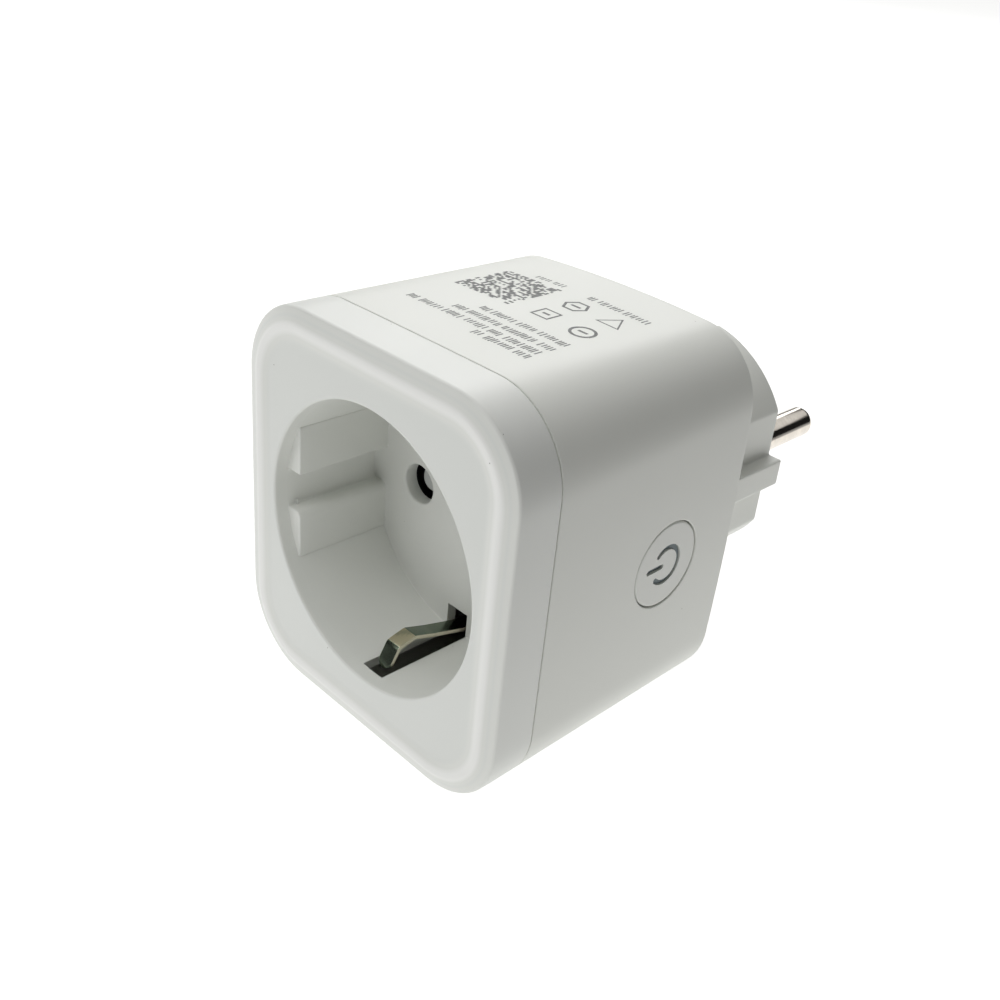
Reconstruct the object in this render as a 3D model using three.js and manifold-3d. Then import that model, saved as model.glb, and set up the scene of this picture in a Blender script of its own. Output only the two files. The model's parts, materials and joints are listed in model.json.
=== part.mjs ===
// Smart plug: a side-earthed socket and plug with a switched, wireless relay between them.
//
// Units are millimetres and +Z is up. +X is the side with the button, +Y points from the socket
// face to the plug's pins. Every piece below is drawn with y = 0 in the plane of the socket face.
// The last step slides the whole assembly so that its origin is the centre of the plug's end face.

import * as THREE from 'three';
import { mergeVertices } from 'three/addons/utils/BufferGeometryUtils.js';
import Module from 'manifold-3d';

const wasm = await Module();
wasm.setup();

// ---------------------------------------------------------------- driving dimensions

// Body: a rounded block that narrows slightly towards the wall.
const BODY_FRONT = { width: 49.4, height: 54.0, radius: 11.2 };
const BODY_BACK = { width: 47.4, height: 53.4, radius: 9.8 };
const BODY_DEPTH = 43.2;
const FULL_WIDTH_DEPTH = 2.0; // the front keeps its full size down to here, then narrows
const FRONT_EDGE = { band: 2.3, lean: 0.7, arris: 0.5 };
const BACK_CHAMFER = 0.4;
const SEAM_Y = 7.1;
const SEAM_GAP = 0.24;
const WALL = 2.0;
const FACE_WALL = 2.2;
const COVER_WALL = 2.7;
const FIT_GAP = 0.3;
const OVERLAP = 0.5; // how far two joined pieces run into each other
const CUT_PAST = 1.0; // how far a cutting tool runs past the face it cuts

// Screws: all three kinds share one shank.
const SCREW = { shank: 0.8, head: 1.9, headHeight: 1.0, slotDepth: 0.5, slotHalf: 1, slotHalfWidth: 0.22 };
const SCREW_HOLE = { pilot: 0.95, clear: 1.2 };

// Socket recess.
const RECESS_RADIUS = 19.1;
const RECESS_DEPTH = 17.2;
const RECESS_LIP = 0.4;
const CUP_WALL = 1.6;
const FLOOR_WALL = 2.0;
const FLOOR_BACK = RECESS_DEPTH + FLOOR_WALL;
const PIN_PITCH = 19.0;
const PIN_X = PIN_PITCH / 2;
const PIN_HOLE_RADIUS = 2.8;
const KEY = { face: 16.3, inner: 2.8, outer: 9.7, leftStart: 2.4, rightStart: 3.5 };
const SLOT = { halfWidth: 2.1, start: 2.5, floorEdge: 15.4, outer: 21.5, bite: 0.6 };

// Plug.
const PIN_RADIUS = 2.4;
const PIN_LENGTH = 19.0;
const PIN_PLAY = 0.12;
const PLUG = { radius: 18.3, flat: 15.9, rib: 18.1, ribHalf: 1.9, length: 20.4, wall: 2.0, end: 3.0 };
const PLUG_END = BODY_DEPTH + PLUG.length;
const EARTH_GROOVE = { halfWidth: 3.1, floor: 16.1, start: 45.0, bed: 2.2 };

// Button on the +X side.
const BUTTON = { y: 29.25, z: -0.2, holeRadius: 6.1, radius: 5.95, thickness: 1.5, travel: 0.3 };

// Boards and the layers behind the recess.
const POWER_BOARD = { front: 38.0, thickness: 1.6, halfWidth: 21.2, halfHeight: 24.0, radius: 7.4 };
const CONTROL_BOARD = {
  x: 17.6,
  thickness: 1.0,
  front: 22.5,
  back: 37.4,
  bottom: -14.0,
  top: 8.0,
  chamfer: 3.0,
};
const SHUTTER = { front: 19.5, thickness: 2.0, padRadius: 1.85, ramp: 0.3, armHalf: 1.2, hubRadius: 3.6 };
const RETAINER = { front: 21.8, thickness: 1.2, radius: 14.4, rim: 1.1, pinHole: 3.2 };
const EARTH_SPINE = {
  front: 23.3,
  thickness: 0.8,
  halfWidth: 2.6,
  outer: 20.1,
  tabFront: FLOOR_BACK + 0.6,
  rivet: { radius: 0.9, sunk: 0.2, stands: 0.4, z: 12 },
};
const BOARD_BOSS = { radius: 2.4, pilotEnd: 0.6, screwEnd: 0.8 };
const RETAINER_BOSS = { radius: 2.1, pilotDepth: 0.6 };
const PIVOT_RADIUS = 1.2;
const PIVOT_STANDS = 0.9;
const RELAY = { x0: -12.0, x1: 12.0, y0: 25.0, y1: 37.5, z0: 8.0, z1: 20.6, wall: 0.7 };

// ---------------------------------------------------------------- materials

function finish(color, roughness, metalness = 0) {
  return new THREE.MeshStandardMaterial({ color, roughness, metalness });
}

const shellWhite = finish(0xe4e5e2, 0.5);
const plugGrey = finish(0xd6d7d4, 0.42);
const symbolGrey = finish(0x6f7d7d, 0.3);
const nickel = finish(0xb9b4a8, 0.22, 1.0);
const springSteel = finish(0x8c9088, 0.3, 1.0);
const brass = finish(0xc2a25a, 0.35, 1.0);
const copper = finish(0xb4693c, 0.35, 1.0);
const boardGreen = finish(0x1f5a38, 0.5);
const boardBlack = finish(0x1d2326, 0.5);
const blackPlastic = finish(0x1b1b1c, 0.5);
const shutterGrey = finish(0xc9ccc9, 0.5);
const chipBlack = finish(0x242426, 0.45);
const relayBlue = finish(0x2c5f9e, 0.4);
const bobbinWhite = finish(0xe9e3d2, 0.5);
const sleeveBlack = finish(0x23272d, 0.35);
const filmYellow = finish(0xd9b53a, 0.45);
const varistorBlue = finish(0x2f6f9c, 0.5);
const resistorGreen = finish(0x6f8f6a, 0.6);
const ferrite = finish(0x3a3634, 0.7);
const shieldTin = finish(0xb8bcbc, 0.3, 1.0);
const ledWhite = finish(0xf1efe2, 0.3);
const earthYellow = finish(0xb7c43a, 0.5);
const steel = finish(0x9fa3a6, 0.3, 1.0);

// ---------------------------------------------------------------- solids

// A closed three.js geometry as a solid that can be joined and cut.
function solid(geometry) {
  const bare = geometry.index ? geometry.toNonIndexed() : geometry.clone();
  bare.deleteAttribute('normal');
  bare.deleteAttribute('uv');
  const merged = mergeVertices(bare, 1e-4);
  return new wasm.Manifold(new wasm.Mesh({
    numProp: 3,
    vertProperties: merged.attributes.position.array,
    triVerts: new Uint32Array(merged.index.array),
  }));
}

function join(...pieces) {
  return pieces.reduce((sum, piece) => sum.add(piece));
}

function cut(body, ...tools) {
  return tools.reduce((rest, tool) => rest.subtract(tool), body);
}

// A named mesh of a finished solid.
function part(name, body, material) {
  const { numProp, vertProperties, triVerts } = body.getMesh();
  const stored = new THREE.InterleavedBuffer(vertProperties, numProp);
  const geometry = new THREE.BufferGeometry();
  geometry.setAttribute('position', new THREE.InterleavedBufferAttribute(stored, 3, 0));
  geometry.setIndex(new THREE.BufferAttribute(triVerts, 1));
  const mesh = new THREE.Mesh(geometry, material);
  mesh.name = name;
  return mesh;
}

function block([x0, x1], [y0, y1], [z0, z1]) {
  const geometry = new THREE.BoxGeometry(x1 - x0, y1 - y0, z1 - z0);
  geometry.translate((x0 + x1) / 2, (y0 + y1) / 2, (z0 + z1) / 2);
  return solid(geometry);
}

// Round bars along each axis: radius, the two ends, then the place in the other two directions.
function barY(radius, y0, y1, x = 0, z = 0, sides = 24) {
  const geometry = new THREE.CylinderGeometry(radius, radius, y1 - y0, sides);
  geometry.translate(x, (y0 + y1) / 2, z);
  return solid(geometry);
}

function barX(radius, x0, x1, y, z, sides = 24) {
  const geometry = new THREE.CylinderGeometry(radius, radius, x1 - x0, sides);
  geometry.rotateZ(-Math.PI / 2);
  geometry.translate((x0 + x1) / 2, y, z);
  return solid(geometry);
}

function barZ(radius, z0, z1, x, y, sides = 24) {
  const geometry = new THREE.CylinderGeometry(radius, radius, z1 - z0, sides);
  geometry.rotateX(Math.PI / 2);
  geometry.translate(x, y, (z0 + z1) / 2);
  return solid(geometry);
}

// A profile of [radius, y] points turned about the Y axis, then moved in x and z.
function turned(profile, x = 0, z = 0, sides = 32) {
  const points = profile.map(([radius, y]) => new THREE.Vector2(radius, y));
  const geometry = new THREE.LatheGeometry(points, sides);
  geometry.translate(x, 0, z);
  return solid(geometry);
}

// An outline in the XZ plane carried from y0 to y1.
function slab(outline, y0, y1, curveSegments = 8) {
  const geometry = new THREE.ExtrudeGeometry(outline, {
    depth: y1 - y0,
    bevelEnabled: false,
    curveSegments,
  });
  geometry.rotateX(Math.PI / 2);
  geometry.translate(0, y1, 0);
  return solid(geometry);
}

// An outline in the YZ plane carried from x0 to x1.
function plank(outline, x0, x1, curveSegments = 8) {
  const geometry = new THREE.ExtrudeGeometry(outline, {
    depth: x1 - x0,
    bevelEnabled: false,
    curveSegments,
  });
  geometry.rotateX(Math.PI / 2);
  geometry.rotateZ(Math.PI / 2);
  geometry.translate(x0, 0, 0);
  return solid(geometry);
}

function roundedOutline(width, height, radius) {
  const x = width / 2 - radius;
  const z = height / 2 - radius;
  const outline = new THREE.Shape();
  outline.absarc(x, z, radius, 0, Math.PI / 2);
  outline.absarc(-x, z, radius, Math.PI / 2, Math.PI);
  outline.absarc(-x, -z, radius, Math.PI, 1.5 * Math.PI);
  outline.absarc(x, -z, radius, 1.5 * Math.PI, 2 * Math.PI);
  outline.closePath();
  return outline;
}

// A strip of constant thickness whose middle line is a smooth curve through [y, z] points.
function bentStrip(points, thickness, halfWidth, steps = 24) {
  const middle = new THREE.SplineCurve(points.map(([y, z]) => new THREE.Vector2(y, z)));
  const sides = [[], []];
  for (let step = 0; step <= steps; step += 1) {
    const place = middle.getPoint(step / steps);
    const along = middle.getTangent(step / steps);
    const across = new THREE.Vector2(-along.y, along.x).multiplyScalar(thickness / 2);
    sides[0].push(place.clone().add(across));
    sides[1].unshift(place.clone().sub(across));
  }
  return plank(new THREE.Shape([...sides[0], ...sides[1]]), -halfWidth, halfWidth);
}

function mirrorZ(body) {
  return body.mirror([0, 0, 1]);
}

function mirrorX(body) {
  return body.mirror([1, 0, 0]);
}

// ---------------------------------------------------------------- body surfaces

function mix(a, b, share) {
  return a + (b - a) * share;
}

// Size of the body's outline at a depth, before its edges are rounded.
function bodyAt(y) {
  const share = THREE.MathUtils.clamp((y - FULL_WIDTH_DEPTH) / (BODY_DEPTH - FULL_WIDTH_DEPTH), 0, 1);
  return {
    y,
    width: mix(BODY_FRONT.width, BODY_BACK.width, share),
    height: mix(BODY_FRONT.height, BODY_BACK.height, share),
    radius: mix(BODY_FRONT.radius, BODY_BACK.radius, share),
  };
}

function inset(level, amount) {
  return {
    y: level.y,
    width: level.width - 2 * amount,
    height: level.height - 2 * amount,
    radius: level.radius - amount,
  };
}

// A block whose rounded-rectangle section changes from level to level along Y.
function loft(levels, curveSegments = 4) {
  const base = levels[0];
  const outline = roundedOutline(base.width, base.height, base.radius);
  const last = levels.length - 1;
  const geometry = new THREE.ExtrudeGeometry(outline, {
    depth: last,
    steps: last,
    bevelEnabled: false,
    curveSegments,
  });
  geometry.rotateX(Math.PI / 2);
  const place = geometry.attributes.position;
  const centre = (half, radius, value) => Math.sign(value) * (half - radius);
  for (let i = 0; i < place.count; i += 1) {
    const level = levels[last - Math.round(-place.getY(i))] ?? levels[0];
    const scale = level.radius / base.radius;
    const fromX = centre(base.width / 2, base.radius, place.getX(i));
    const fromZ = centre(base.height / 2, base.radius, place.getZ(i));
    const toX = centre(level.width / 2, level.radius, place.getX(i));
    const toZ = centre(level.height / 2, level.radius, place.getZ(i));
    place.setXYZ(
      i,
      toX + (place.getX(i) - fromX) * scale,
      level.y,
      toZ + (place.getZ(i) - fromZ) * scale,
    );
  }
  return solid(geometry);
}

// Sections of the front edge: a band that leans back from the face, then a crisp rounded arris.
function frontEdgeLevels(steps = 4) {
  const { band, lean, arris } = FRONT_EDGE;
  const tilt = Math.atan2(lean, band);
  const centre = (arris * (1 - Math.sin(tilt)) + band * Math.sin(tilt)) / Math.cos(tilt);
  const corner = Array.from({ length: steps + 1 }, (_, i) => {
    const angle = mix(tilt, Math.PI / 2, i / steps);
    return inset(bodyAt(centre - arris * Math.cos(angle)), arris * (1 - Math.sin(angle)));
  });
  return [inset(bodyAt(0), band), ...corner];
}

// ---------------------------------------------------------------- front cover

const TONGUE = { start: 4.5, end: 9.6, thickness: 1.2 };
const HOOK = { xs: [-12, 12], halfWidth: 2.5, end: 13.0, thickness: 1.1, bump: 0.7, bumpStart: 11.2 };

function frontShell() {
  const back = SEAM_Y - SEAM_GAP / 2;
  const outside = loft([...frontEdgeLevels(), bodyAt(back)]);
  const hollow = loft([FACE_WALL, back + 1].map((y) => inset(bodyAt(y), COVER_WALL)));
  return cut(outside, hollow);
}

// A thin rim that slips inside the rear housing and closes the seam from behind.
function tongueRim() {
  const outside = WALL + FIT_GAP;
  const ends = [TONGUE.start, TONGUE.end];
  const rim = loft(ends.map((y) => inset(bodyAt(y), outside)));
  const hollow = loft([TONGUE.start - 1, TONGUE.end + 1].map((y) => {
    return inset(bodyAt(y), outside + TONGUE.thickness);
  }));
  return cut(rim, hollow);
}

// Snap arms at the top and bottom, each with a bump that catches in the rear housing.
function snapArm(x) {
  const outer = bodyAt(HOOK.end).height / 2 - WALL - FIT_GAP;
  const xs = [x - HOOK.halfWidth, x + HOOK.halfWidth];
  const arm = block(xs, [TONGUE.end - 1, HOOK.end], [outer - HOOK.thickness, outer]);
  const bump = block(xs, [HOOK.bumpStart, HOOK.end], [outer - HOOK.thickness, outer + HOOK.bump]);
  return join(arm, bump);
}

function snapArms() {
  const arms = HOOK.xs.map(snapArm);
  return join(...arms, ...arms.map(mirrorZ));
}

function keyBlocks() {
  const pair = (start) => {
    const ys = [start, RECESS_DEPTH + OVERLAP];
    const within = barY(RECESS_RADIUS + CUP_WALL / 2, ...ys, 0, 0, 48);
    const upper = block([KEY.face, RECESS_RADIUS + CUP_WALL], ys, [KEY.inner, KEY.outer]);
    return join(upper, mirrorZ(upper)).intersect(within);
  };
  return join(pair(KEY.rightStart), mirrorX(pair(KEY.leftStart)));
}

function recessCutter() {
  const mouth = RECESS_RADIUS + RECESS_LIP;
  return turned([
    [0, -CUT_PAST],
    [mouth, -CUT_PAST],
    [mouth, 0],
    [RECESS_RADIUS + RECESS_LIP * 0.3, RECESS_LIP * 0.3],
    [RECESS_RADIUS, RECESS_LIP],
    [RECESS_RADIUS, RECESS_DEPTH],
    [0, RECESS_DEPTH],
  ], 0, 0, 48);
}

// The lower earth slot: through the cup's wall, and on as a notch in its floor.
function earthSlot() {
  const xs = [-SLOT.halfWidth, SLOT.halfWidth];
  const back = FLOOR_BACK + CUT_PAST;
  const wall = block(xs, [SLOT.start, back], [-SLOT.outer, -RECESS_RADIUS + SLOT.bite]);
  const notch = block(xs, [RECESS_DEPTH - OVERLAP, back], [-SLOT.outer, -SLOT.floorEdge]);
  return join(wall, notch);
}

function frontCover() {
  const cup = barY(RECESS_RADIUS + CUP_WALL, FACE_WALL / 2, FLOOR_BACK, 0, 0, 48);
  const hollowed = cut(join(frontShell(), tongueRim(), snapArms(), cup), recessCutter());
  const pivot = barY(PIVOT_RADIUS, FLOOR_BACK - OVERLAP, RETAINER.front + PIVOT_STANDS);
  const bosses = RETAINER_SCREWS.map(([x, z]) => {
    return barY(RETAINER_BOSS.radius, FLOOR_BACK - OVERLAP, RETAINER.front - FIT_GAP, x, z);
  });
  const pilots = RETAINER_SCREWS.map(([x, z]) => {
    return barY(SCREW_HOLE.pilot, FLOOR_BACK - RETAINER_BOSS.pilotDepth, RETAINER.front + CUT_PAST, x, z);
  });
  const holes = [-PIN_X, PIN_X].map((x) => {
    return barY(PIN_HOLE_RADIUS, RECESS_DEPTH - CUT_PAST, FLOOR_BACK + CUT_PAST, x);
  });
  const slot = earthSlot();
  return cut(
    join(hollowed, keyBlocks(), pivot, ...bosses),
    ...pilots,
    ...holes,
    slot,
    mirrorZ(slot),
  );
}

// ---------------------------------------------------------------- rear housing with the plug

// The plug's section: a circle with two flats, and a rib in the middle of each flat.
function plugSection(shrink, withRibs) {
  const radius = PLUG.radius - shrink;
  const flat = PLUG.flat - shrink;
  const corner = Math.acos(flat / radius);
  const rib = PLUG.rib;
  const outline = new THREE.Shape();
  outline.absarc(0, 0, radius, corner, Math.PI - corner);
  if (withRibs) {
    outline.lineTo(-flat, PLUG.ribHalf);
    outline.lineTo(-rib, PLUG.ribHalf);
    outline.lineTo(-rib, -PLUG.ribHalf);
    outline.lineTo(-flat, -PLUG.ribHalf);
  }
  outline.absarc(0, 0, radius, Math.PI + corner, 2 * Math.PI - corner);
  if (withRibs) {
    outline.lineTo(flat, -PLUG.ribHalf);
    outline.lineTo(rib, -PLUG.ribHalf);
    outline.lineTo(rib, PLUG.ribHalf);
    outline.lineTo(flat, PLUG.ribHalf);
  }
  outline.closePath();
  return outline;
}

// Sides of the two grooves that the wall socket's earth clips slide along.
function earthGroove() {
  const xs = [-EARTH_GROOVE.halfWidth, EARTH_GROOVE.halfWidth];
  return block(xs, [EARTH_GROOVE.start, PLUG_END + 1], [EARTH_GROOVE.floor, PLUG.radius + 1]);
}

function grooveBed() {
  const half = EARTH_GROOVE.halfWidth + 1.5;
  const floor = EARTH_GROOVE.floor;
  return block([-half, half], [BODY_DEPTH - 1, PLUG_END - 1], [floor - EARTH_GROOVE.bed, floor + 0.6]);
}

function bowSlot() {
  const half = BOW.halfWidth + FIT_GAP;
  const low = EARTH_GROOVE.floor - EARTH_GROOVE.bed - 1;
  const ys = [BOW.bridge - FIT_GAP, BOW.bridge + BOW.thickness + FIT_GAP];
  return block([-half, half], ys, [low, PLUG.radius]);
}

function plugTower() {
  const inner = PLUG_END - PLUG.end;
  const outside = slab(plugSection(0, true), BODY_DEPTH - OVERLAP, PLUG_END, 12);
  const inside = slab(plugSection(PLUG.wall, false), BODY_DEPTH - WALL - CUT_PAST, inner, 12);
  const bed = grooveBed();
  const groove = earthGroove();
  const slot = bowSlot();
  const pinHoles = [-PIN_X, PIN_X].map((x) => {
    return barY(PIN_RADIUS + PIN_PLAY, inner - CUT_PAST, PLUG_END + CUT_PAST, x);
  });
  const clampBosses = CLAMP_SCREWS.map(([x, z]) => {
    return barY(CLAMP.boss, CLAMP.back + FIT_GAP, inner + OVERLAP, x, z);
  });
  const clampPilots = CLAMP_SCREWS.map(([x, z]) => {
    return barY(SCREW_HOLE.pilot, CLAMP.front, PLUG_END - CLAMP.pilotEnd, x, z);
  });
  return cut(
    join(cut(outside, inside), bed, mirrorZ(bed), ...clampBosses),
    groove,
    mirrorZ(groove),
    slot,
    mirrorZ(slot),
    ...pinHoles,
    ...clampPilots,
  );
}

function housingShell() {
  const front = SEAM_Y + SEAM_GAP / 2;
  const outside = loft([
    bodyAt(front),
    bodyAt(BODY_DEPTH - BACK_CHAMFER),
    inset(bodyAt(BODY_DEPTH), BACK_CHAMFER),
  ]);
  const inside = loft([front - 1, BODY_DEPTH - FACE_WALL].map((y) => inset(bodyAt(y), WALL)));
  return cut(outside, inside);
}

// Pockets in the top and bottom walls for the front cover's snap arms.
function snapPockets() {
  const inner = bodyAt(HOOK.end).height / 2 - WALL;
  const pockets = HOOK.xs.map((x) => {
    const half = HOOK.halfWidth + FIT_GAP;
    const ys = [HOOK.bumpStart - FIT_GAP, HOOK.end + FIT_GAP];
    return block([x - half, x + half], ys, [inner - 1, inner + HOOK.bump + 0.1]);
  });
  return join(...pockets, ...pockets.map(mirrorZ));
}

function rearHousing() {
  const top = POWER_BOARD.front + POWER_BOARD.thickness + FIT_GAP;
  const bosses = BOARD_SCREWS.map(([x, z]) => barY(BOARD_BOSS.radius, top, BODY_DEPTH - OVERLAP, x, z));
  const pilots = BOARD_SCREWS.map(([x, z]) => {
    return barY(SCREW_HOLE.pilot, top - CUT_PAST, BODY_DEPTH - BOARD_BOSS.pilotEnd, x, z);
  });
  const openingYs = [BODY_DEPTH - FACE_WALL - CUT_PAST, BODY_DEPTH + CUT_PAST];
  const opening = slab(plugSection(PLUG.wall, false), ...openingYs, 12);
  const shell = cut(housingShell(), opening);
  const wall = bodyAt(BUTTON.y).width / 2;
  const buttonXs = [wall - WALL - CUT_PAST, wall + CUT_PAST];
  const buttonHole = barX(BUTTON.holeRadius, ...buttonXs, BUTTON.y, BUTTON.z, 48);
  return cut(join(shell, plugTower(), ...bosses), snapPockets(), buttonHole, ...pilots);
}

// ---------------------------------------------------------------- plug pins and their fixing

const PIN_FLANGE = { radius: 3.4, thickness: 1.4 };
const PIN_STUB = { radius: 1.2, hole: 1.5, stands: 0.6 };
const PIN_DOME = 1.3;
const CLAMP = { thickness: 1.8, width: 26, height: 22, radius: 4, boss: 2.2, pilotEnd: 1.2, screwEnd: 1.5 };
CLAMP.back = PLUG_END - PLUG.end - FIT_GAP - PIN_FLANGE.thickness - FIT_GAP;
CLAMP.front = CLAMP.back - CLAMP.thickness;
const CLAMP_SCREWS = [[0, 8.2], [0, -8.2]];
const STRAP = { thickness: 0.8, halfWidth: 2.0, leg: 5.8, reach: 2.4, boardEnd: 37.0 };
const BOW = { thickness: 0.8, halfWidth: 2.4, bridge: 46.4, end: 0.8 };

// A solid round pin: domed tip, shank through the end wall, flange and riveting stub inside.
function plugPin(x) {
  const flangeBack = PLUG_END - PLUG.end - FIT_GAP;
  const flangeFront = flangeBack - PIN_FLANGE.thickness;
  const tip = PLUG_END + PIN_LENGTH;
  const domeProfile = [0, 30, 60].map((degrees) => {
    const angle = THREE.MathUtils.degToRad(degrees);
    return [PIN_RADIUS - PIN_DOME * (1 - Math.cos(angle)), tip - PIN_DOME * (1 - Math.sin(angle))];
  });
  return turned([
    [0, STRAP.front - PIN_STUB.stands],
    [PIN_STUB.radius, STRAP.front - PIN_STUB.stands],
    [PIN_STUB.radius, flangeFront],
    [PIN_FLANGE.radius, flangeFront],
    [PIN_FLANGE.radius, flangeBack],
    [PIN_RADIUS, flangeBack],
    ...domeProfile,
    [PIN_RADIUS - PIN_DOME, tip],
    [0, tip],
  ], x, 0, 24);
}

STRAP.back = CLAMP.front - FIT_GAP;
STRAP.front = STRAP.back - STRAP.thickness;

function clampPlate() {
  const ys = [CLAMP.front - CUT_PAST, CLAMP.back + CUT_PAST];
  const plate = slab(roundedOutline(CLAMP.width, CLAMP.height, CLAMP.radius), CLAMP.front, CLAMP.back, 3);
  const holes = [-PIN_X, PIN_X].map((x) => barY(PIN_STUB.hole, ...ys, x));
  const screwHoles = CLAMP_SCREWS.map(([x, z]) => barY(SCREW_HOLE.clear + 0.2, ...ys, x, z));
  return cut(plate, ...holes, ...screwHoles);
}

// An angled strip from a pin's stub to the power board.
function pinStrap(side) {
  const zs = [-STRAP.halfWidth, STRAP.halfWidth];
  const foot = block([STRAP.leg, PIN_X + STRAP.reach], [STRAP.front, STRAP.back], zs);
  const leg = block([STRAP.leg, STRAP.leg + STRAP.thickness], [STRAP.boardEnd, STRAP.back], zs);
  const hole = barY(PIN_STUB.hole, STRAP.front - CUT_PAST, STRAP.back + CUT_PAST, PIN_X);
  const strap = cut(join(foot, leg), hole);
  return side > 0 ? strap : mirrorX(strap);
}

// The plug's earth: one strip bent into a bow, its arms lying in the two grooves.
function plugEarthBow() {
  const xs = [-BOW.halfWidth, BOW.halfWidth];
  const top = EARTH_GROOVE.floor + FIT_GAP + BOW.thickness;
  const bridge = block(xs, [BOW.bridge, BOW.bridge + BOW.thickness], [-top, top]);
  const end = PLUG_END - BOW.end;
  const arm = block(xs, [BOW.bridge, end], [top - BOW.thickness, top]);
  const tip = barX(BOW.thickness / 2, ...xs, end, top - BOW.thickness / 2, 12);
  const upper = join(arm, tip);
  return join(bridge, upper, mirrorZ(upper));
}

// A screw along Y with a cross-slotted pan head at its front end.
function screw(x, z, headFront, tip, headRadius = SCREW.head) {
  const headBack = headFront + SCREW.headHeight;
  const body = turned([
    [0, headFront],
    [headRadius * 0.7, headFront],
    [headRadius, headFront + SCREW.headHeight * 0.45],
    [headRadius, headBack],
    [SCREW.shank, headBack],
    [SCREW.shank, tip - SCREW.shank],
    [SCREW.shank / 4, tip],
    [0, tip],
  ], x, z, 16);
  const slotYs = [headFront - CUT_PAST, headFront + SCREW.slotDepth];
  const { slotHalf: long, slotHalfWidth: narrow } = SCREW;
  const across = block([x - long, x + long], slotYs, [z - narrow, z + narrow]);
  const upright = block([x - narrow, x + narrow], slotYs, [z - long, z + long]);
  return cut(body, across, upright);
}

// A screw that points forward, from behind the shutter's retainer into the recess floor.
function retainerScrew(x, z, headFront) {
  const headRadius = 1.7;
  const tip = FLOOR_BACK - 0.2;
  return screw(x, z, -headFront - SCREW.headHeight, -tip, headRadius).mirror([0, 1, 0]);
}

// ---------------------------------------------------------------- socket side: earth, contacts, shutter

const CLIP = { thickness: 0.6, halfWidth: 1.25 };
const RETAINER_SCREWS = [[6.8, 8.4], [-6.8, -8.4]];

// The lower spring clip: rises from its root behind the floor to a crest, then tucks into the slot.
function earthClip() {
  const middle = [
    [22.6, -18.7],
    [17.4, -18.2],
    [12.0, -16.8],
    [8.6, -15.75],
    [6.7, -15.8],
    [5.3, -17.1],
    [4.2, -19.4],
  ];
  return bentStrip(middle, CLIP.thickness, CLIP.halfWidth, 26);
}

// A strip behind the shutter with a tab bent forward at each end, under the roots of the clips.
function socketEarthBracket() {
  const back = EARTH_SPINE.front + EARTH_SPINE.thickness;
  const xs = [-EARTH_SPINE.halfWidth, EARTH_SPINE.halfWidth];
  const { outer, tabFront, rivet: head } = EARTH_SPINE;
  const spine = block(xs, [EARTH_SPINE.front, back], [-outer, outer]);
  const tab = block(xs, [tabFront, back], [-outer, -outer + EARTH_SPINE.thickness]);
  const rivet = barY(head.radius, EARTH_SPINE.front + head.sunk, back + head.stands, 0, -head.z, 12);
  return join(spine, tab, mirrorZ(tab), rivet, mirrorZ(rivet));
}

const CONTACT = {
  front: 25.0,
  back: 35.6,
  inner: 2.5,
  wall: 0.8,
  flare: 0.6,
  flareEnd: 26.5,
  splitHalf: 0.5,
  splitEnd: 33.1,
  foot: 12.9,
  footFront: 31.6,
  footEnd: 40.4,
  footHalf: 2.0,
};

// A split sleeve that grips one pin, with a foot that passes through the power board.
function socketContact(side) {
  const { front, back, inner, wall, flare, flareEnd, splitHalf, foot, footHalf } = CONTACT;
  const outer = inner + wall;
  const tube = turned([
    [inner + flare, front],
    [outer + flare * 0.7, front],
    [outer, flareEnd],
    [outer, back],
    [inner, back],
    [inner, flareEnd],
    [inner + flare, front],
  ], PIN_X, 0, 24);
  const zs = [-footHalf, footHalf];
  const blade = block([foot, foot + wall], [CONTACT.footFront, CONTACT.footEnd], zs);
  const bridge = block([PIN_X + inner + 0.2, foot + 0.2], [CONTACT.footFront, back], zs);
  const splitYs = [front - CUT_PAST, CONTACT.splitEnd];
  const split = block([PIN_X - outer - CUT_PAST, PIN_X], splitYs, [-splitHalf, splitHalf]);
  const core = barY(inner, front - CUT_PAST, back + CUT_PAST, PIN_X);
  const contact = cut(join(tube, blade, bridge), split, core);
  return side > 0 ? contact : mirrorX(contact);
}

// A turning child-safety shutter: a hub with two arms, each ending in a pad behind a pin hole.
function shutter() {
  const back = SHUTTER.front + SHUTTER.thickness;
  const hub = barY(SHUTTER.hubRadius, SHUTTER.front, back);
  const armYs = [SHUTTER.front + SHUTTER.ramp, back];
  const arms = block([-PIN_X, PIN_X], armYs, [-SHUTTER.armHalf, SHUTTER.armHalf]);
  const pads = [-PIN_X, PIN_X].map((x) => turned([
    [0, SHUTTER.front],
    [SHUTTER.padRadius - SHUTTER.ramp, SHUTTER.front],
    [SHUTTER.padRadius, SHUTTER.front + SHUTTER.ramp],
    [SHUTTER.padRadius, back],
    [0, back],
  ], x, 0, 24));
  return cut(join(hub, arms, ...pads), barY(PIVOT_RADIUS + FIT_GAP, SHUTTER.front - 1, back + 1));
}

const SPRING = {
  x: 6.0,
  y: SHUTTER.front + 1.15,
  top: -1.6,
  bottom: -8.6,
  radius: 0.8,
  wire: 0.15,
  turns: 6,
  seatHalf: 1.3,
  seat: [-10, -8.9],
};

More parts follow.
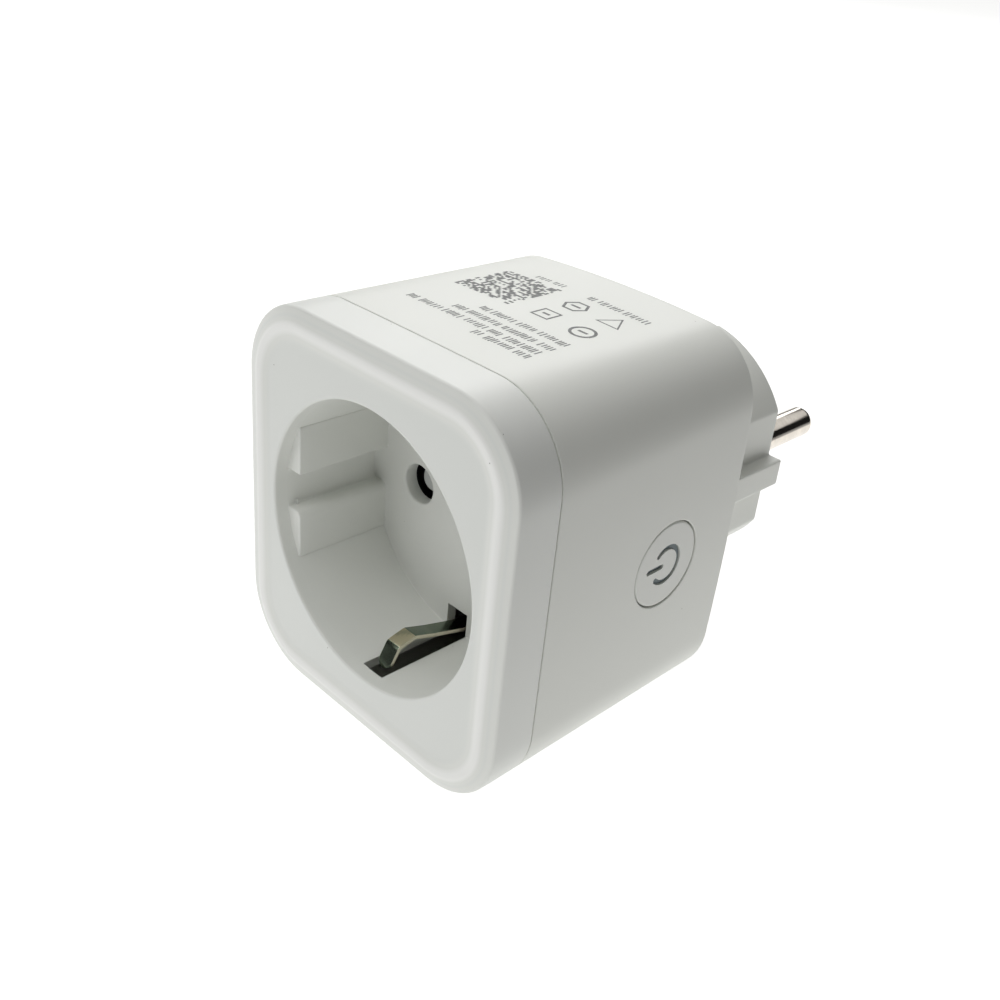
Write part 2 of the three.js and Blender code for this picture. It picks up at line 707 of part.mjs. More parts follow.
// The cup-shaped plate that holds the shutter against the floor of the recess.
function shutterRetainer() {
  const { front, radius, rim: rimWall } = RETAINER;
  const back = front + RETAINER.thickness;
  const rimFront = FLOOR_BACK + FIT_GAP;
  const rimBack = front + OVERLAP;
  const disc = barY(radius, front, back, 0, 0, 40);
  const rim = turned([
    [radius - rimWall, rimFront],
    [radius, rimFront],
    [radius, rimBack],
    [radius - rimWall, rimBack],
    [radius - rimWall, rimFront],
  ], 0, 0, 40);
  const seatXs = [SPRING.x - SPRING.seatHalf, SPRING.x + SPRING.seatHalf];
  const springSeat = block(seatXs, [rimFront, rimBack], SPRING.seat);
  const ys = [front - CUT_PAST, back + CUT_PAST];
  const pinHoles = [-PIN_X, PIN_X].map((x) => barY(RETAINER.pinHole, ...ys, x));
  const screwHoles = RETAINER_SCREWS.map(([x, z]) => barY(SCREW_HOLE.clear, ...ys, x, z));
  const pivotHole = barY(PIVOT_RADIUS + FIT_GAP, ...ys);
  return cut(join(disc, rim, springSeat), ...pinHoles, ...screwHoles, pivotHole);
}

// A coil of constant radius that rises along Z.
class Helix extends THREE.Curve {
  constructor(radius, from, to, turns) {
    super();
    Object.assign(this, { radius, from, to, turns });
  }

  getPoint(share, target = new THREE.Vector3()) {
    const angle = share * this.turns * 2 * Math.PI;
    const z = mix(this.from, this.to, share);
    return target.set(this.radius * Math.cos(angle), this.radius * Math.sin(angle), z);
  }
}

function shutterSpring() {
  const section = new THREE.Shape();
  section.absarc(0, 0, SPRING.wire, 0, 2 * Math.PI);
  const path = new Helix(SPRING.radius - SPRING.wire, SPRING.bottom, SPRING.top, SPRING.turns);
  const geometry = new THREE.ExtrudeGeometry(section, {
    steps: SPRING.turns * 9,
    extrudePath: path,
    curveSegments: 3,
    bevelEnabled: false,
  });
  geometry.translate(SPRING.x, SPRING.y, 0);
  return solid(geometry);
}

// ---------------------------------------------------------------- wiring

const EARTH_WIRE_RADIUS = 0.9;

// The earth wire: from the plug's bow, past the power board, to the socket's earth bracket.
function earthWire() {
  const route = new THREE.CatmullRomCurve3([
    [0, 45.6, -10.6],
    [0, 43.0, -11.4],
    [0, 39.0, -13.6],
    [0, 35.5, -16.4],
    [0, 31.5, -17.6],
    [0, 28.0, -17.4],
    [0, 25.4, -16.4],
  ].map((point) => new THREE.Vector3(...point)));
  const section = new THREE.Shape();
  section.absarc(0, 0, EARTH_WIRE_RADIUS, 0, 2 * Math.PI);
  return solid(new THREE.ExtrudeGeometry(section, {
    steps: 22,
    extrudePath: route,
    curveSegments: 4,
    bevelEnabled: false,
  }));
}

// ---------------------------------------------------------------- boards

const BOARD_SCREWS = [[15.6, 19.2], [-15.6, -19.2]];
const BOARD_SLOT_HALF = 2.3;
const WIRE_NOTCH_TOP = -10.6;

function powerBoard() {
  const back = POWER_BOARD.front + POWER_BOARD.thickness;
  const through = [POWER_BOARD.front - CUT_PAST, back + CUT_PAST];
  const slotZs = [-BOARD_SLOT_HALF, BOARD_SLOT_HALF];
  const outline = roundedOutline(2 * POWER_BOARD.halfWidth, 2 * POWER_BOARD.halfHeight, POWER_BOARD.radius);
  const board = slab(outline, POWER_BOARD.front, back, 3);
  const notchZs = [-POWER_BOARD.halfHeight - CUT_PAST, WIRE_NOTCH_TOP];
  const wireNotch = block([-BOARD_SLOT_HALF, BOARD_SLOT_HALF], through, notchZs);
  const strapXs = [STRAP.leg - FIT_GAP, STRAP.leg + STRAP.thickness + FIT_GAP];
  const strapSlot = block(strapXs, through, slotZs);
  const footXs = [CONTACT.foot - FIT_GAP, CONTACT.foot + CONTACT.wall + FIT_GAP];
  const footSlot = block(footXs, through, slotZs);
  const screwHoles = BOARD_SCREWS.map(([x, z]) => barY(SCREW_HOLE.clear, ...through, x, z));
  return cut(
    board,
    wireNotch,
    strapSlot,
    mirrorX(strapSlot),
    footSlot,
    mirrorX(footSlot),
    ...screwHoles,
  );
}

function controlBoard() {
  const { x, thickness, front, back, bottom, top, chamfer } = CONTROL_BOARD;
  const outline = new THREE.Shape();
  outline.moveTo(front, bottom);
  outline.lineTo(back, bottom);
  outline.lineTo(back, top);
  outline.lineTo(front + chamfer, top);
  outline.lineTo(front, top - chamfer);
  outline.closePath();
  return plank(outline, x, x + thickness);
}

const SHIELD = { y0: 24.5, y1: 34.5, z0: -12.5, z1: -1.0, height: 2.2, wall: 0.3 };

// The wireless module's tin lid: a shallow box, open towards the board.
function shieldCan() {
  const base = CONTROL_BOARD.x - FIT_GAP;
  const { y0, y1, z0, z1, height, wall } = SHIELD;
  const outside = block([base - height, base], [y0, y1], [z0, z1]);
  const inside = block([base - height + wall, base + 1], [y0 + wall, y1 - wall], [z0 + wall, z1 - wall]);
  return cut(outside, inside);
}

const ANTENNA = { y: 24.6, pitch: 3.0, strip: 0.8, bottom: 1.2, top: 6.2 };

// The wireless antenna: a flat strip folded into three bars on the control board.
function antenna() {
  const { y, pitch, strip, bottom, top } = ANTENNA;
  const xs = [CONTROL_BOARD.x - strip, CONTROL_BOARD.x - FIT_GAP];
  const bars = [0, 1, 2].map((i) => block(xs, [y + pitch * i, y + pitch * i + strip], [bottom, top]));
  const topLink = block(xs, [y, y + pitch + strip], [top - strip, top]);
  const lowLink = block(xs, [y + pitch, y + 2 * pitch + strip], [bottom, bottom + strip]);
  return join(...bars, topLink, lowLink);
}

// ---------------------------------------------------------------- button and its switch

const CONTROL_TOP = CONTROL_BOARD.x + CONTROL_BOARD.thickness + FIT_GAP;
const SWITCH = { half: 2.3, height: 1.7, well: 1.4, wellFloor: 0.5, plunger: 1.1, top: 21.1 };
const SYMBOL = {
  ring: 2.5,
  stroke: 0.65,
  gap: 0.68,
  bar: [-3.75, -0.55],
  barHalf: 0.32,
  recess: 0.15,
  play: 0.05,
};
const FLANGE = { radius: 7.0, thickness: 0.5 };
const GUIDE = { radius: 4.3, thickness: 0.9, rise: 0.6, stem: 0.9, pocket: 4.6, pocketRoof: 0.7 };
const LED = {
  aside: 3.9,
  base: { height: 0.4, halfY: 0.5, halfZ: 0.9 },
  lens: { height: 0.8, halfY: 0.45, halfZ: 0.5 },
};

// The power sign: an open ring with a bar through the gap, both facing the socket side.
function powerSign(grow, x0, x1) {
  const inner = SYMBOL.ring - SYMBOL.stroke / 2 - grow;
  const outer = SYMBOL.ring + SYMBOL.stroke / 2 + grow;
  const from = -Math.PI + SYMBOL.gap;
  const to = Math.PI - SYMBOL.gap;
  const ring = new THREE.Shape();
  ring.absarc(0, 0, outer, from, to);
  ring.absarc(0, 0, inner, to, from, true);
  ring.closePath();
  const sign = plank(ring, x0, x1, 12);
  const half = SYMBOL.barHalf + grow;
  const bar = block([x0, x1], [SYMBOL.bar[0] - grow, SYMBOL.bar[1] + grow], [-half, half]);
  return join(sign, bar).translate([0, BUTTON.y, BUTTON.z]);
}

const BUTTON_FACE = bodyAt(BUTTON.y).width / 2 - 0.05;
const BUTTON_UNDER = BUTTON_FACE - BUTTON.thickness;
const FLANGE_TOP = bodyAt(BUTTON.y).width / 2 - WALL - FIT_GAP;

function buttonCap() {
  const disc = barX(BUTTON.radius, FLANGE_TOP - 0.1, BUTTON_FACE, BUTTON.y, BUTTON.z, 48);
  const flange = barX(FLANGE.radius, FLANGE_TOP - FLANGE.thickness, FLANGE_TOP, BUTTON.y, BUTTON.z, 32);
  const pocketXs = [FLANGE_TOP - FLANGE.thickness - CUT_PAST, BUTTON_UNDER + GUIDE.pocketRoof];
  const pocket = barX(GUIDE.pocket, ...pocketXs, BUTTON.y, BUTTON.z, 32);
  const sign = powerSign(SYMBOL.play, BUTTON_UNDER, BUTTON_FACE + CUT_PAST);
  return cut(join(disc, flange), pocket, sign);
}

// The clear insert that lights the power sign: its strokes stand on a disc inside the cap,
// and the stem behind the disc is what pushes the switch.
function lightGuide() {
  const backing = BUTTON_UNDER + GUIDE.rise;
  const sign = powerSign(0, backing - OVERLAP, BUTTON_FACE - SYMBOL.recess);
  const disc = barX(GUIDE.radius, backing - GUIDE.thickness, backing, BUTTON.y, BUTTON.z, 32);
  const stem = barX(GUIDE.stem, SWITCH.top + FIT_GAP, backing - OVERLAP, BUTTON.y, BUTTON.z, 16);
  return join(disc, stem, sign);
}

function switchBody() {
  const xs = [CONTROL_TOP, CONTROL_TOP + SWITCH.height];
  const ys = [BUTTON.y - SWITCH.half, BUTTON.y + SWITCH.half];
  const body = block(xs, ys, [BUTTON.z - SWITCH.half, BUTTON.z + SWITCH.half]);
  const well = barX(SWITCH.well, CONTROL_TOP + SWITCH.wellFloor, SWITCH.top, BUTTON.y, BUTTON.z, 20);
  return cut(body, well);
}

function switchPlunger() {
  const foot = CONTROL_TOP + SWITCH.wellFloor + BUTTON.travel + 0.1;
  return barX(SWITCH.plunger, foot, SWITCH.top, BUTTON.y, BUTTON.z, 20);
}

function statusLed() {
  const { aside, base, lens } = LED;
  const y = BUTTON.y + aside;
  const body = block(
    [CONTROL_TOP, CONTROL_TOP + base.height],
    [y - base.halfY, y + base.halfY],
    [BUTTON.z - base.halfZ, BUTTON.z + base.halfZ],
  );
  const dome = block(
    [CONTROL_TOP + base.height / 2, CONTROL_TOP + lens.height],
    [y - lens.halfY, y + lens.halfY],
    [BUTTON.z - lens.halfZ, BUTTON.z + lens.halfZ],
  );
  return join(body, dome);
}

// ---------------------------------------------------------------- relay

const RELAY_BASE_TOP = RELAY.y1 - 1.6;
const RELAY_LEGS = [[-9, 10], [-9, 18], [5, 14.3], [10, 14.3]];
const COIL = { x0: -10.0, x1: 1.0, y: 31.6, z: 14.3, radius: 3.0, core: 1.5, flange: 3.4, flangeWall: 0.8 };
const ARMATURE = { x: 2.1, thickness: 0.9, hingeY: 35.2, contactY: 26.9 };

// The relay's cover: a box open towards the board.
function relayCase() {
  const { x0, x1, y0, z0, z1, wall } = RELAY;
  const back = RELAY_BASE_TOP - FIT_GAP;
  const outside = block([x0, x1], [y0, back], [z0, z1]);
  return cut(outside, block([x0 + wall, x1 - wall], [y0 + wall, back + 1], [z0 + wall, z1 - wall]));
}

// The relay's base plate with four legs that reach the board.
function relayBase() {
  const { x0, x1, y1, z0, z1 } = RELAY;
  const plate = block([x0, x1], [RELAY_BASE_TOP, y1], [z0, z1]);
  const legs = RELAY_LEGS.map(([x, z]) => {
    return block([x - 0.4, x + 0.4], [y1 - 0.5, y1 + 0.4], [z - 0.6, z + 0.6]);
  });
  return join(plate, ...legs);
}

function relayBobbin() {
  const half = COIL.flange;
  const wall = COIL.flangeWall;
  const flange = (x) => {
    return block([x, x + wall], [COIL.y - half, COIL.y + half], [COIL.z - half, COIL.z + half]);
  };
  const tube = barX(COIL.core + 0.6, COIL.x0, COIL.x1, COIL.y, COIL.z, 20);
  const hole = barX(COIL.core, COIL.x0 - 1, COIL.x1 + 1, COIL.y, COIL.z, 20);
  return cut(join(tube, flange(COIL.x0), flange(COIL.x1 - wall)), hole);
}

function relayCoil() {
  const x0 = COIL.x0 + COIL.flangeWall + FIT_GAP;
  const x1 = COIL.x1 - COIL.flangeWall - FIT_GAP;
  const layers = 7;
  const pitch = (x1 - x0) / layers;
  const inner = COIL.core + 0.9;
  const profile = [[inner, x0]];
  for (let i = 0; i < layers; i += 1) {
    profile.push([COIL.radius - 0.15, x0 + pitch * i]);
    profile.push([COIL.radius, x0 + pitch * (i + 0.5)]);
  }
  profile.push([COIL.radius - 0.15, x1], [inner, x1], [inner, x0]);
  const points = profile.map(([radius, along]) => new THREE.Vector2(radius, along));
  const geometry = new THREE.LatheGeometry(points, 20);
  geometry.rotateZ(-Math.PI / 2);
  geometry.translate(0, COIL.y, COIL.z);
  return solid(geometry);
}

// A U of soft iron around the coil: an upright behind it that holds the core, and a rail beside it.
function relayYoke() {
  const half = COIL.flange;
  const back = RELAY_BASE_TOP - FIT_GAP;
  const uprightXs = [COIL.x0 - 1.1, COIL.x0 - 0.3];
  const upright = block(uprightXs, [COIL.y - half, back], [COIL.z - half - 1.2, COIL.z + half]);
  const railZs = [COIL.z - half - 1.2, COIL.z - half - 0.3];
  const rail = block([COIL.x0 - 1.1, ARMATURE.x - 0.5], [COIL.y - half, back], railZs);
  const core = barX(COIL.core - 0.25, COIL.x0 - 0.5, ARMATURE.x - 0.5, COIL.y, COIL.z, 20);
  return join(upright, rail, core);
}

// The plate that the core pulls, hinged near the base.
function relayArmature() {
  const xs = [ARMATURE.x, ARMATURE.x + ARMATURE.thickness];
  return block(xs, [COIL.y - COIL.flange, ARMATURE.hingeY], [COIL.z - 3.2, COIL.z + 3.2]);
}

// The moving contact: a springy blade on the armature's back, carrying a silver button at its end.
function contactBlade() {
  const x = ARMATURE.x + ARMATURE.thickness + FIT_GAP;
  const blade = block([x, x + 0.4], [ARMATURE.contactY - 1, ARMATURE.hingeY], [COIL.z - 1.8, COIL.z + 1.8]);
  const button = barX(0.8, x - 1.0, x + 0.2, ARMATURE.contactY, COIL.z, 16);
  return join(blade, button);
}

// The fixed contact: a crossbar in front of the coil, carried by a leg down the relay's side.
function fixedContact() {
  const x = 0.4;
  const ys = [ARMATURE.contactY - 0.9, ARMATURE.contactY + 0.9];
  const top = RELAY.z1 - RELAY.wall - FIT_GAP;
  const crossbar = block([x, x + 0.7], ys, [COIL.z - 1.8, top]);
  const button = barX(0.8, x + 0.3, x + 1.1, ARMATURE.contactY, COIL.z, 16);
  const leg = block([x, x + 2.6], [ys[0], RELAY_BASE_TOP - FIT_GAP], [top - 0.6, top]);
  return join(crossbar, button, leg);
}

// ---------------------------------------------------------------- other components on the power board

const COMPONENT_BACK = POWER_BOARD.front - FIT_GAP;

// An upright electrolytic can with a rolled groove near its seal and a vented top.
function bulkCapacitor(x, z) {
  const radius = 4.0;
  const front = 25.4;
  const can = turned([
    [0, front + 0.25],
    [radius - 0.9, front + 0.25],
    [radius - 0.9, front],
    [radius - 0.5, front],
    [radius, front + 0.5],
    [radius, COMPONENT_BACK - 2.2],
    [radius - 0.35, COMPONENT_BACK - 1.7],
    [radius, COMPONENT_BACK - 1.2],
    [radius - 0.2, COMPONENT_BACK],
    [0, COMPONENT_BACK],
  ], x, z, 24);
  const scoreLong = block([x - 2.2, x + 2.2], [front, front + 0.4], [z - 0.15, z + 0.15]);
  const scoreShort = block([x - 0.15, x + 0.15], [front, front + 0.4], [z - 2.2, z + 2.2]);
  return cut(can, scoreLong, scoreShort);
}

function filmCapacitor() {
  const front = 26.5;
  const body = slab(roundedOutline(12.0, 5.4, 0.6), front, COMPONENT_BACK - 0.6, 2);
  const feet = [-5, 5].map((x) => block([x - 0.6, x + 0.6], [COMPONENT_BACK - 1, COMPONENT_BACK], [-2, 2]));
  return join(body, ...feet).translate([9.4, 0, -20.0]);
}

// A drum-core choke: ferrite flanges with the winding between them.
function filterInductor() {
  const front = 29.5;
  return turned([
    [0, front],
    [3.0, front],
    [3.0, front + 1.2],
    [2.6, front + 1.4],
    [2.7, front + 3.6],
    [2.6, COMPONENT_BACK - 1.6],
    [3.0, COMPONENT_BACK - 1.4],
    [3.0, COMPONENT_BACK],
    [0, COMPONENT_BACK],
  ], 5.9, -12.4, 20);
}

function varistor() {
  const y = 31.4;
  const disc = barX(5.0, -19.0, -15.8, y, 1.5, 28);
  const leads = [-1.0, 4.0].map((z) => barY(0.4, y, COMPONENT_BACK, -17.4, z, 8));
  return join(disc, ...leads);
}

// A flameproof resistor lying across the board, thicker at its end caps.
function fuseResistor() {
  const x = -17.2;
  const y = 35.2;
  const body = barZ(1.7, 10.4, 17.6, x, y, 20);
  const caps = [[9.6, 11.2], [16.8, 18.4]].map(([z0, z1]) => barZ(1.95, z0, z1, x, y, 20));
  const leads = [9.0, 19.0].map((z) => barY(0.35, y - 0.3, COMPONENT_BACK, x, z, 8));
  const ends = barZ(0.35, 8.8, 19.2, x, y, 8);
  return join(body, ...caps, ...leads, ends);
}

// A small-outline package: a body with a row of gull-wing legs on each side.
function chip(x, z, width, height, legs) {
  const front = COMPONENT_BACK - 1.6;
  const zs = [z - height / 2, z + height / 2];
  const body = block([x - width / 2, x + width / 2], [front, COMPONENT_BACK - 0.1], zs);
  const rows = [];
  for (let i = 0; i < legs; i += 1) {
    const at = x + (i - (legs - 1) / 2) * (width / legs);
    const reach = height / 2 + 0.9;
    rows.push(block([at - 0.2, at + 0.2], [COMPONENT_BACK - 0.4, COMPONENT_BACK], [z - reach, z + reach]));
  }
  return join(body, ...rows);
}

// The current shunt: a bent alloy strip standing over the board like a bridge.
function currentShunt() {
  const zs = [4.9, 6.7];
  const deck = block([-4.2, 4.2], [34.6, 35.4], zs);
  const post = block([3.4, 4.2], [34.6, COMPONENT_BACK], zs);
  return join(deck, post, mirrorX(post));
}

// ---------------------------------------------------------------- assembly

const smartPlug = new THREE.Group();

const housing = new THREE.Group();
housing.add(
  part('front_cover', frontCover(), shellWhite),
  part('rear_housing', rearHousing(), plugGrey),
);

const plug = new THREE.Group();
plug.add(
  part('line_pin', plugPin(PIN_X), nickel),
  part('neutral_pin', plugPin(-PIN_X), nickel),
  part('pin_clamp_plate', clampPlate(), blackPlastic),
  part('line_strap', pinStrap(1), brass),
  part('neutral_strap', pinStrap(-1), brass),
  part('plug_earth_bow', plugEarthBow(), nickel),
);
CLAMP_SCREWS.forEach(([x, z], i) => {
  const headFront = CLAMP.front - SCREW.headHeight - FIT_GAP;
  plug.add(part(`clamp_screw_${i + 1}`, screw(x, z, headFront, PLUG_END - CLAMP.screwEnd), steel));
});

const socket = new THREE.Group();
const clip = earthClip();
socket.add(
  part('earth_clip_lower', clip, springSteel),
  part('earth_clip_upper', mirrorZ(clip), springSteel),
  part('socket_earth_bracket', socketEarthBracket(), nickel),
  part('earth_wire', earthWire(), earthYellow),
  part('line_contact', socketContact(1), brass),
  part('neutral_contact', socketContact(-1), brass),
  part('shutter', shutter(), shutterGrey),
  part('shutter_retainer', shutterRetainer(), blackPlastic),
  part('shutter_spring', shutterSpring(), springSteel),
);
RETAINER_SCREWS.forEach(([x, z], i) => {
  const headFront = RETAINER.front + RETAINER.thickness + FIT_GAP;
  socket.add(part(`retainer_screw_${i + 1}`, retainerScrew(x, z, headFront), steel));
});

const control = new THREE.Group();
control.add(
  part('button_cap', buttonCap(), shellWhite),
  part('symbol_light_guide', lightGuide(), symbolGrey),
  part('switch_body', switchBody(), blackPlastic),
  part('switch_plunger', switchPlunger(), shutterGrey),
  part('status_led', statusLed(), ledWhite),
  part('control_board', controlBoard(), boardBlack),
  part('wireless_shield', shieldCan(), shieldTin),
  part('wireless_antenna', antenna(), copper),
);

const power = new THREE.Group();
power.add(
  part('power_board', powerBoard(), boardGreen),
  part('relay_case', relayCase(), relayBlue),
  part('relay_base', relayBase(), blackPlastic),
  part('relay_bobbin', relayBobbin(), bobbinWhite),
  part('relay_coil', relayCoil(), copper),
  part('relay_yoke', relayYoke(), steel),
  part('relay_armature', relayArmature(), steel),
  part('relay_contact_blade', contactBlade(), copper),
  part('relay_fixed_contact', fixedContact(), brass),
  part('bulk_capacitor_1', bulkCapacitor(-15.4, -11.6), sleeveBlack),
  part('bulk_capacitor_2', bulkCapacitor(-6.6, -13.0), sleeveBlack),
  part('film_capacitor', filmCapacitor(), filmYellow),
  part('filter_inductor', filterInductor(), ferrite),
  part('varistor', varistor(), varistorBlue),
  part('fuse_resistor', fuseResistor(), resistorGreen),
  part('bridge_rectifier', chip(12.4, -13.0, 4.6, 3.8, 2), chipBlack),
  part('metering_chip', chip(13.0, -7.0, 4.8, 3.6, 4), chipBlack),
  part('converter_chip', chip(0.4, -6.6, 4.4, 3.2, 4), chipBlack),
  part('current_shunt', currentShunt(), copper),
);
BOARD_SCREWS.forEach(([x, z], i) => {
  const headFront = POWER_BOARD.front - SCREW.headHeight - FIT_GAP;
  power.add(part(`board_screw_${i + 1}`, screw(x, z, headFront, BODY_DEPTH - BOARD_BOSS.screwEnd), steel));
});

smartPlug.add(housing, plug, socket, control, power);
smartPlug.position.y = -PLUG_END;

export default smartPlug;
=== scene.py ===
# %% [markdown]
# # A smart plug, finished in Blender
#
# The object is a wall-plug adapter: a rounded off-white block with a round, side-earthed socket in
# front, a two-pin plug behind and a switch button on its right side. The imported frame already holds
# every piece at its true size. This lesson gives the pieces that can be seen a fine surface, and
# every piece a finish. All lengths below are millimetres measured from the front of the cover, and
# one function turns them into the frame's metres.

# %% Load the frame
import json

import bmesh
import bpy
import numpy as np
from mathutils import Matrix, Vector
from mathutils.geometry import delaunay_2d_cdt


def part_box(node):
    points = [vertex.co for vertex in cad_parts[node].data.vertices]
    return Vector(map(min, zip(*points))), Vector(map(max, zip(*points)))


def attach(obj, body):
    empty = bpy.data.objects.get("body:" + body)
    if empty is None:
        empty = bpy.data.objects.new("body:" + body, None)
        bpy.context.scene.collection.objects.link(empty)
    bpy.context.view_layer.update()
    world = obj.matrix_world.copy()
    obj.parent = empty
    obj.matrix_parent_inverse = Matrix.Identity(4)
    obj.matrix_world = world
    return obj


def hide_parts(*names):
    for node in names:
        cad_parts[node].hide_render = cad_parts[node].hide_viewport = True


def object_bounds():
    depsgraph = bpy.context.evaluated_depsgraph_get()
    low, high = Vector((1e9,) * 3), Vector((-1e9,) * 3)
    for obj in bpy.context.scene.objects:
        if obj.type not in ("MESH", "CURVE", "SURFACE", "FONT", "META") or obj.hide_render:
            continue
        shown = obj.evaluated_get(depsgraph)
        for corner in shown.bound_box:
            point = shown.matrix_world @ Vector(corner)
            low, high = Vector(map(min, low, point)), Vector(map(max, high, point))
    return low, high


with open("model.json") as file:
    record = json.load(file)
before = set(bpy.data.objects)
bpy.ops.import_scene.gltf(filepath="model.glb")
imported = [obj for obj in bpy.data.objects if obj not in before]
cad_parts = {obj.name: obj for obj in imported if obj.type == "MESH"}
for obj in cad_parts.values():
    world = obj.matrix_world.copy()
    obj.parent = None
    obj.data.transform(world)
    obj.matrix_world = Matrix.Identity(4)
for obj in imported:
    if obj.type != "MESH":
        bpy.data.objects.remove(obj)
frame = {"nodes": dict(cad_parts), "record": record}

cad_box = [list(corner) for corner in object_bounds()]
print("frame:", len(frame["nodes"]), "nodes, box", np.round(cad_box, 4).tolist())

# %% [markdown]
# ## Sizes
#
# The driving sizes are read from the boxes of the nodes where a box shows them. The rest are the
# design's own values. y runs from the front of the cover (0) to the tips of the pins.

# %% Sizes from the frame
MM = 0.001


def box_mm(node):
    """Lowest and highest corner of a node, in millimetres, still in the frame's own place."""
    low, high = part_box(node)
    return np.array(low) / MM, np.array(high) / MM


cover_low, cover_high = box_mm("front_cover")
pin_low, pin_high = box_mm("line_pin")
FACE_Y = cover_low[1]
FRONT_SIZE = np.array([cover_high[0] - cover_low[0], cover_high[2] - cover_low[2]])
BACK_SIZE = np.array([47.4, 53.05])
FRONT_RADIUS, BACK_RADIUS = 11.2, 9.8
FULL_WIDTH_DEPTH, DEPTH = 2.0, 43.2
SEAM, SEAM_GAP = 7.1, 0.17
PLUG_END = -FACE_Y
PIN_X = (pin_low[0] + pin_high[0]) / 2
print("front at", FACE_Y, "mm, body", FRONT_SIZE, "mm, pins at", PIN_X, "mm")


def in_frame(points):
    """Millimetres from the front to metres in the frame: (x, y + FACE_Y, z) / 1000."""
    return (np.asarray(points, float) + [0.0, FACE_Y, 0.0]) * MM


# %% [markdown]
# ## Meshes from arrays
#
# A moulded shell could be cut with booleans, but then every small rounding has to be bevelled
# afterwards. Here each surface is a stack of rings: ring k is the outline at depth y[k], so a
# rounding is just a few rings whose depth and inset follow a quarter circle. Flat regions with
# holes are filled by a triangulation between loops. The sheets are welded, given a wall by Solidify,
# and edges sharper than a limit are marked sharp.

# %% Ring and mesh helpers
def quarter(steps):
    """Sine and cosine of angles from 0 to 90 degrees, in equal steps."""
    angle = np.linspace(0.0, np.pi / 2, steps + 1)
    return np.sin(angle), np.cos(angle)


def ring_faces(rows, columns, closed=True, start=0):
    """Quads of a grid: point (r, c) joins (r, c + 1), (r + 1, c + 1) and (r + 1, c)."""
    last = columns if closed else columns - 1
    r, c = np.meshgrid(np.arange(rows - 1), np.arange(last), indexing="ij")
    d = (c + 1) % columns
    quads = np.stack([r * columns + c, r * columns + d, (r + 1) * columns + d, (r + 1) * columns + c], -1)
    return start + quads.reshape(-1, 4)


class Sheet:
    """Collects patches of one piece: stacks of rings and filled loops, all in millimetres."""

    def __init__(self):
        self.points, self.faces, self.count = [], [], 0

    def add(self, points, faces):
        """Adds points and the faces between them, whose numbers count from the first new point."""
        self.points.append(points.reshape(-1, 3))
        self.faces.extend((np.asarray(faces) + self.count).tolist())
        self.count += len(self.points[-1])

    def rings(self, rings, keep=None, closed=True):
        """Joins neighbouring rings with quads; keep says which quads stay, as rows by columns."""
        rows, columns = rings.shape[:2]
        faces = ring_faces(rows, columns, closed)
        if keep is not None:
            faces = faces[keep.reshape(-1)]
        self.add(rings, faces)

    def fill(self, loops, flat=(0, 2)):
        """Triangles between closed loops that lie in one plane.

        A triangle stays where a ray from its middle crosses the loops an odd number of times.
        """
        loops = [np.asarray(loop, float) for loop in loops]
        points = np.concatenate(loops)
        plane = points[:, flat]
        sizes = [len(loop) for loop in loops]
        starts = np.cumsum([0] + sizes[:-1])
        edges = [(s + i, s + (i + 1) % n) for s, n in zip(starts, sizes) for i in range(n)]
        found = delaunay_2d_cdt([Vector(p) for p in plane], edges, [], 0, 1e-7)
        tris = np.array(found[2])
        middles = np.array([list(v) for v in found[0]])[tris].mean(1)
        inside = np.zeros(len(tris), bool)
        for loop in loops:
            inside ^= inside_loop(middles, loop[:, flat])
        origin = np.array([found[3][i][0] for i in range(len(found[0]))])
        self.add(points[origin], tris[inside])


def inside_loop(points, loop):
    """Even-odd test: counts the loop's edges that a ray along the first axis crosses."""
    a, b = loop, np.roll(loop, -1, 0)
    px, py = points[:, 0, None], points[:, 1, None]
    spans = (a[:, 1] > py) != (b[:, 1] > py)
    rise = np.where(b[:, 1] == a[:, 1], 1e-12, b[:, 1] - a[:, 1])
    cross = a[:, 0] + (py - a[:, 1]) / rise * (b[:, 0] - a[:, 0])
    return (spans & (px < cross)).sum(1) % 2 == 1


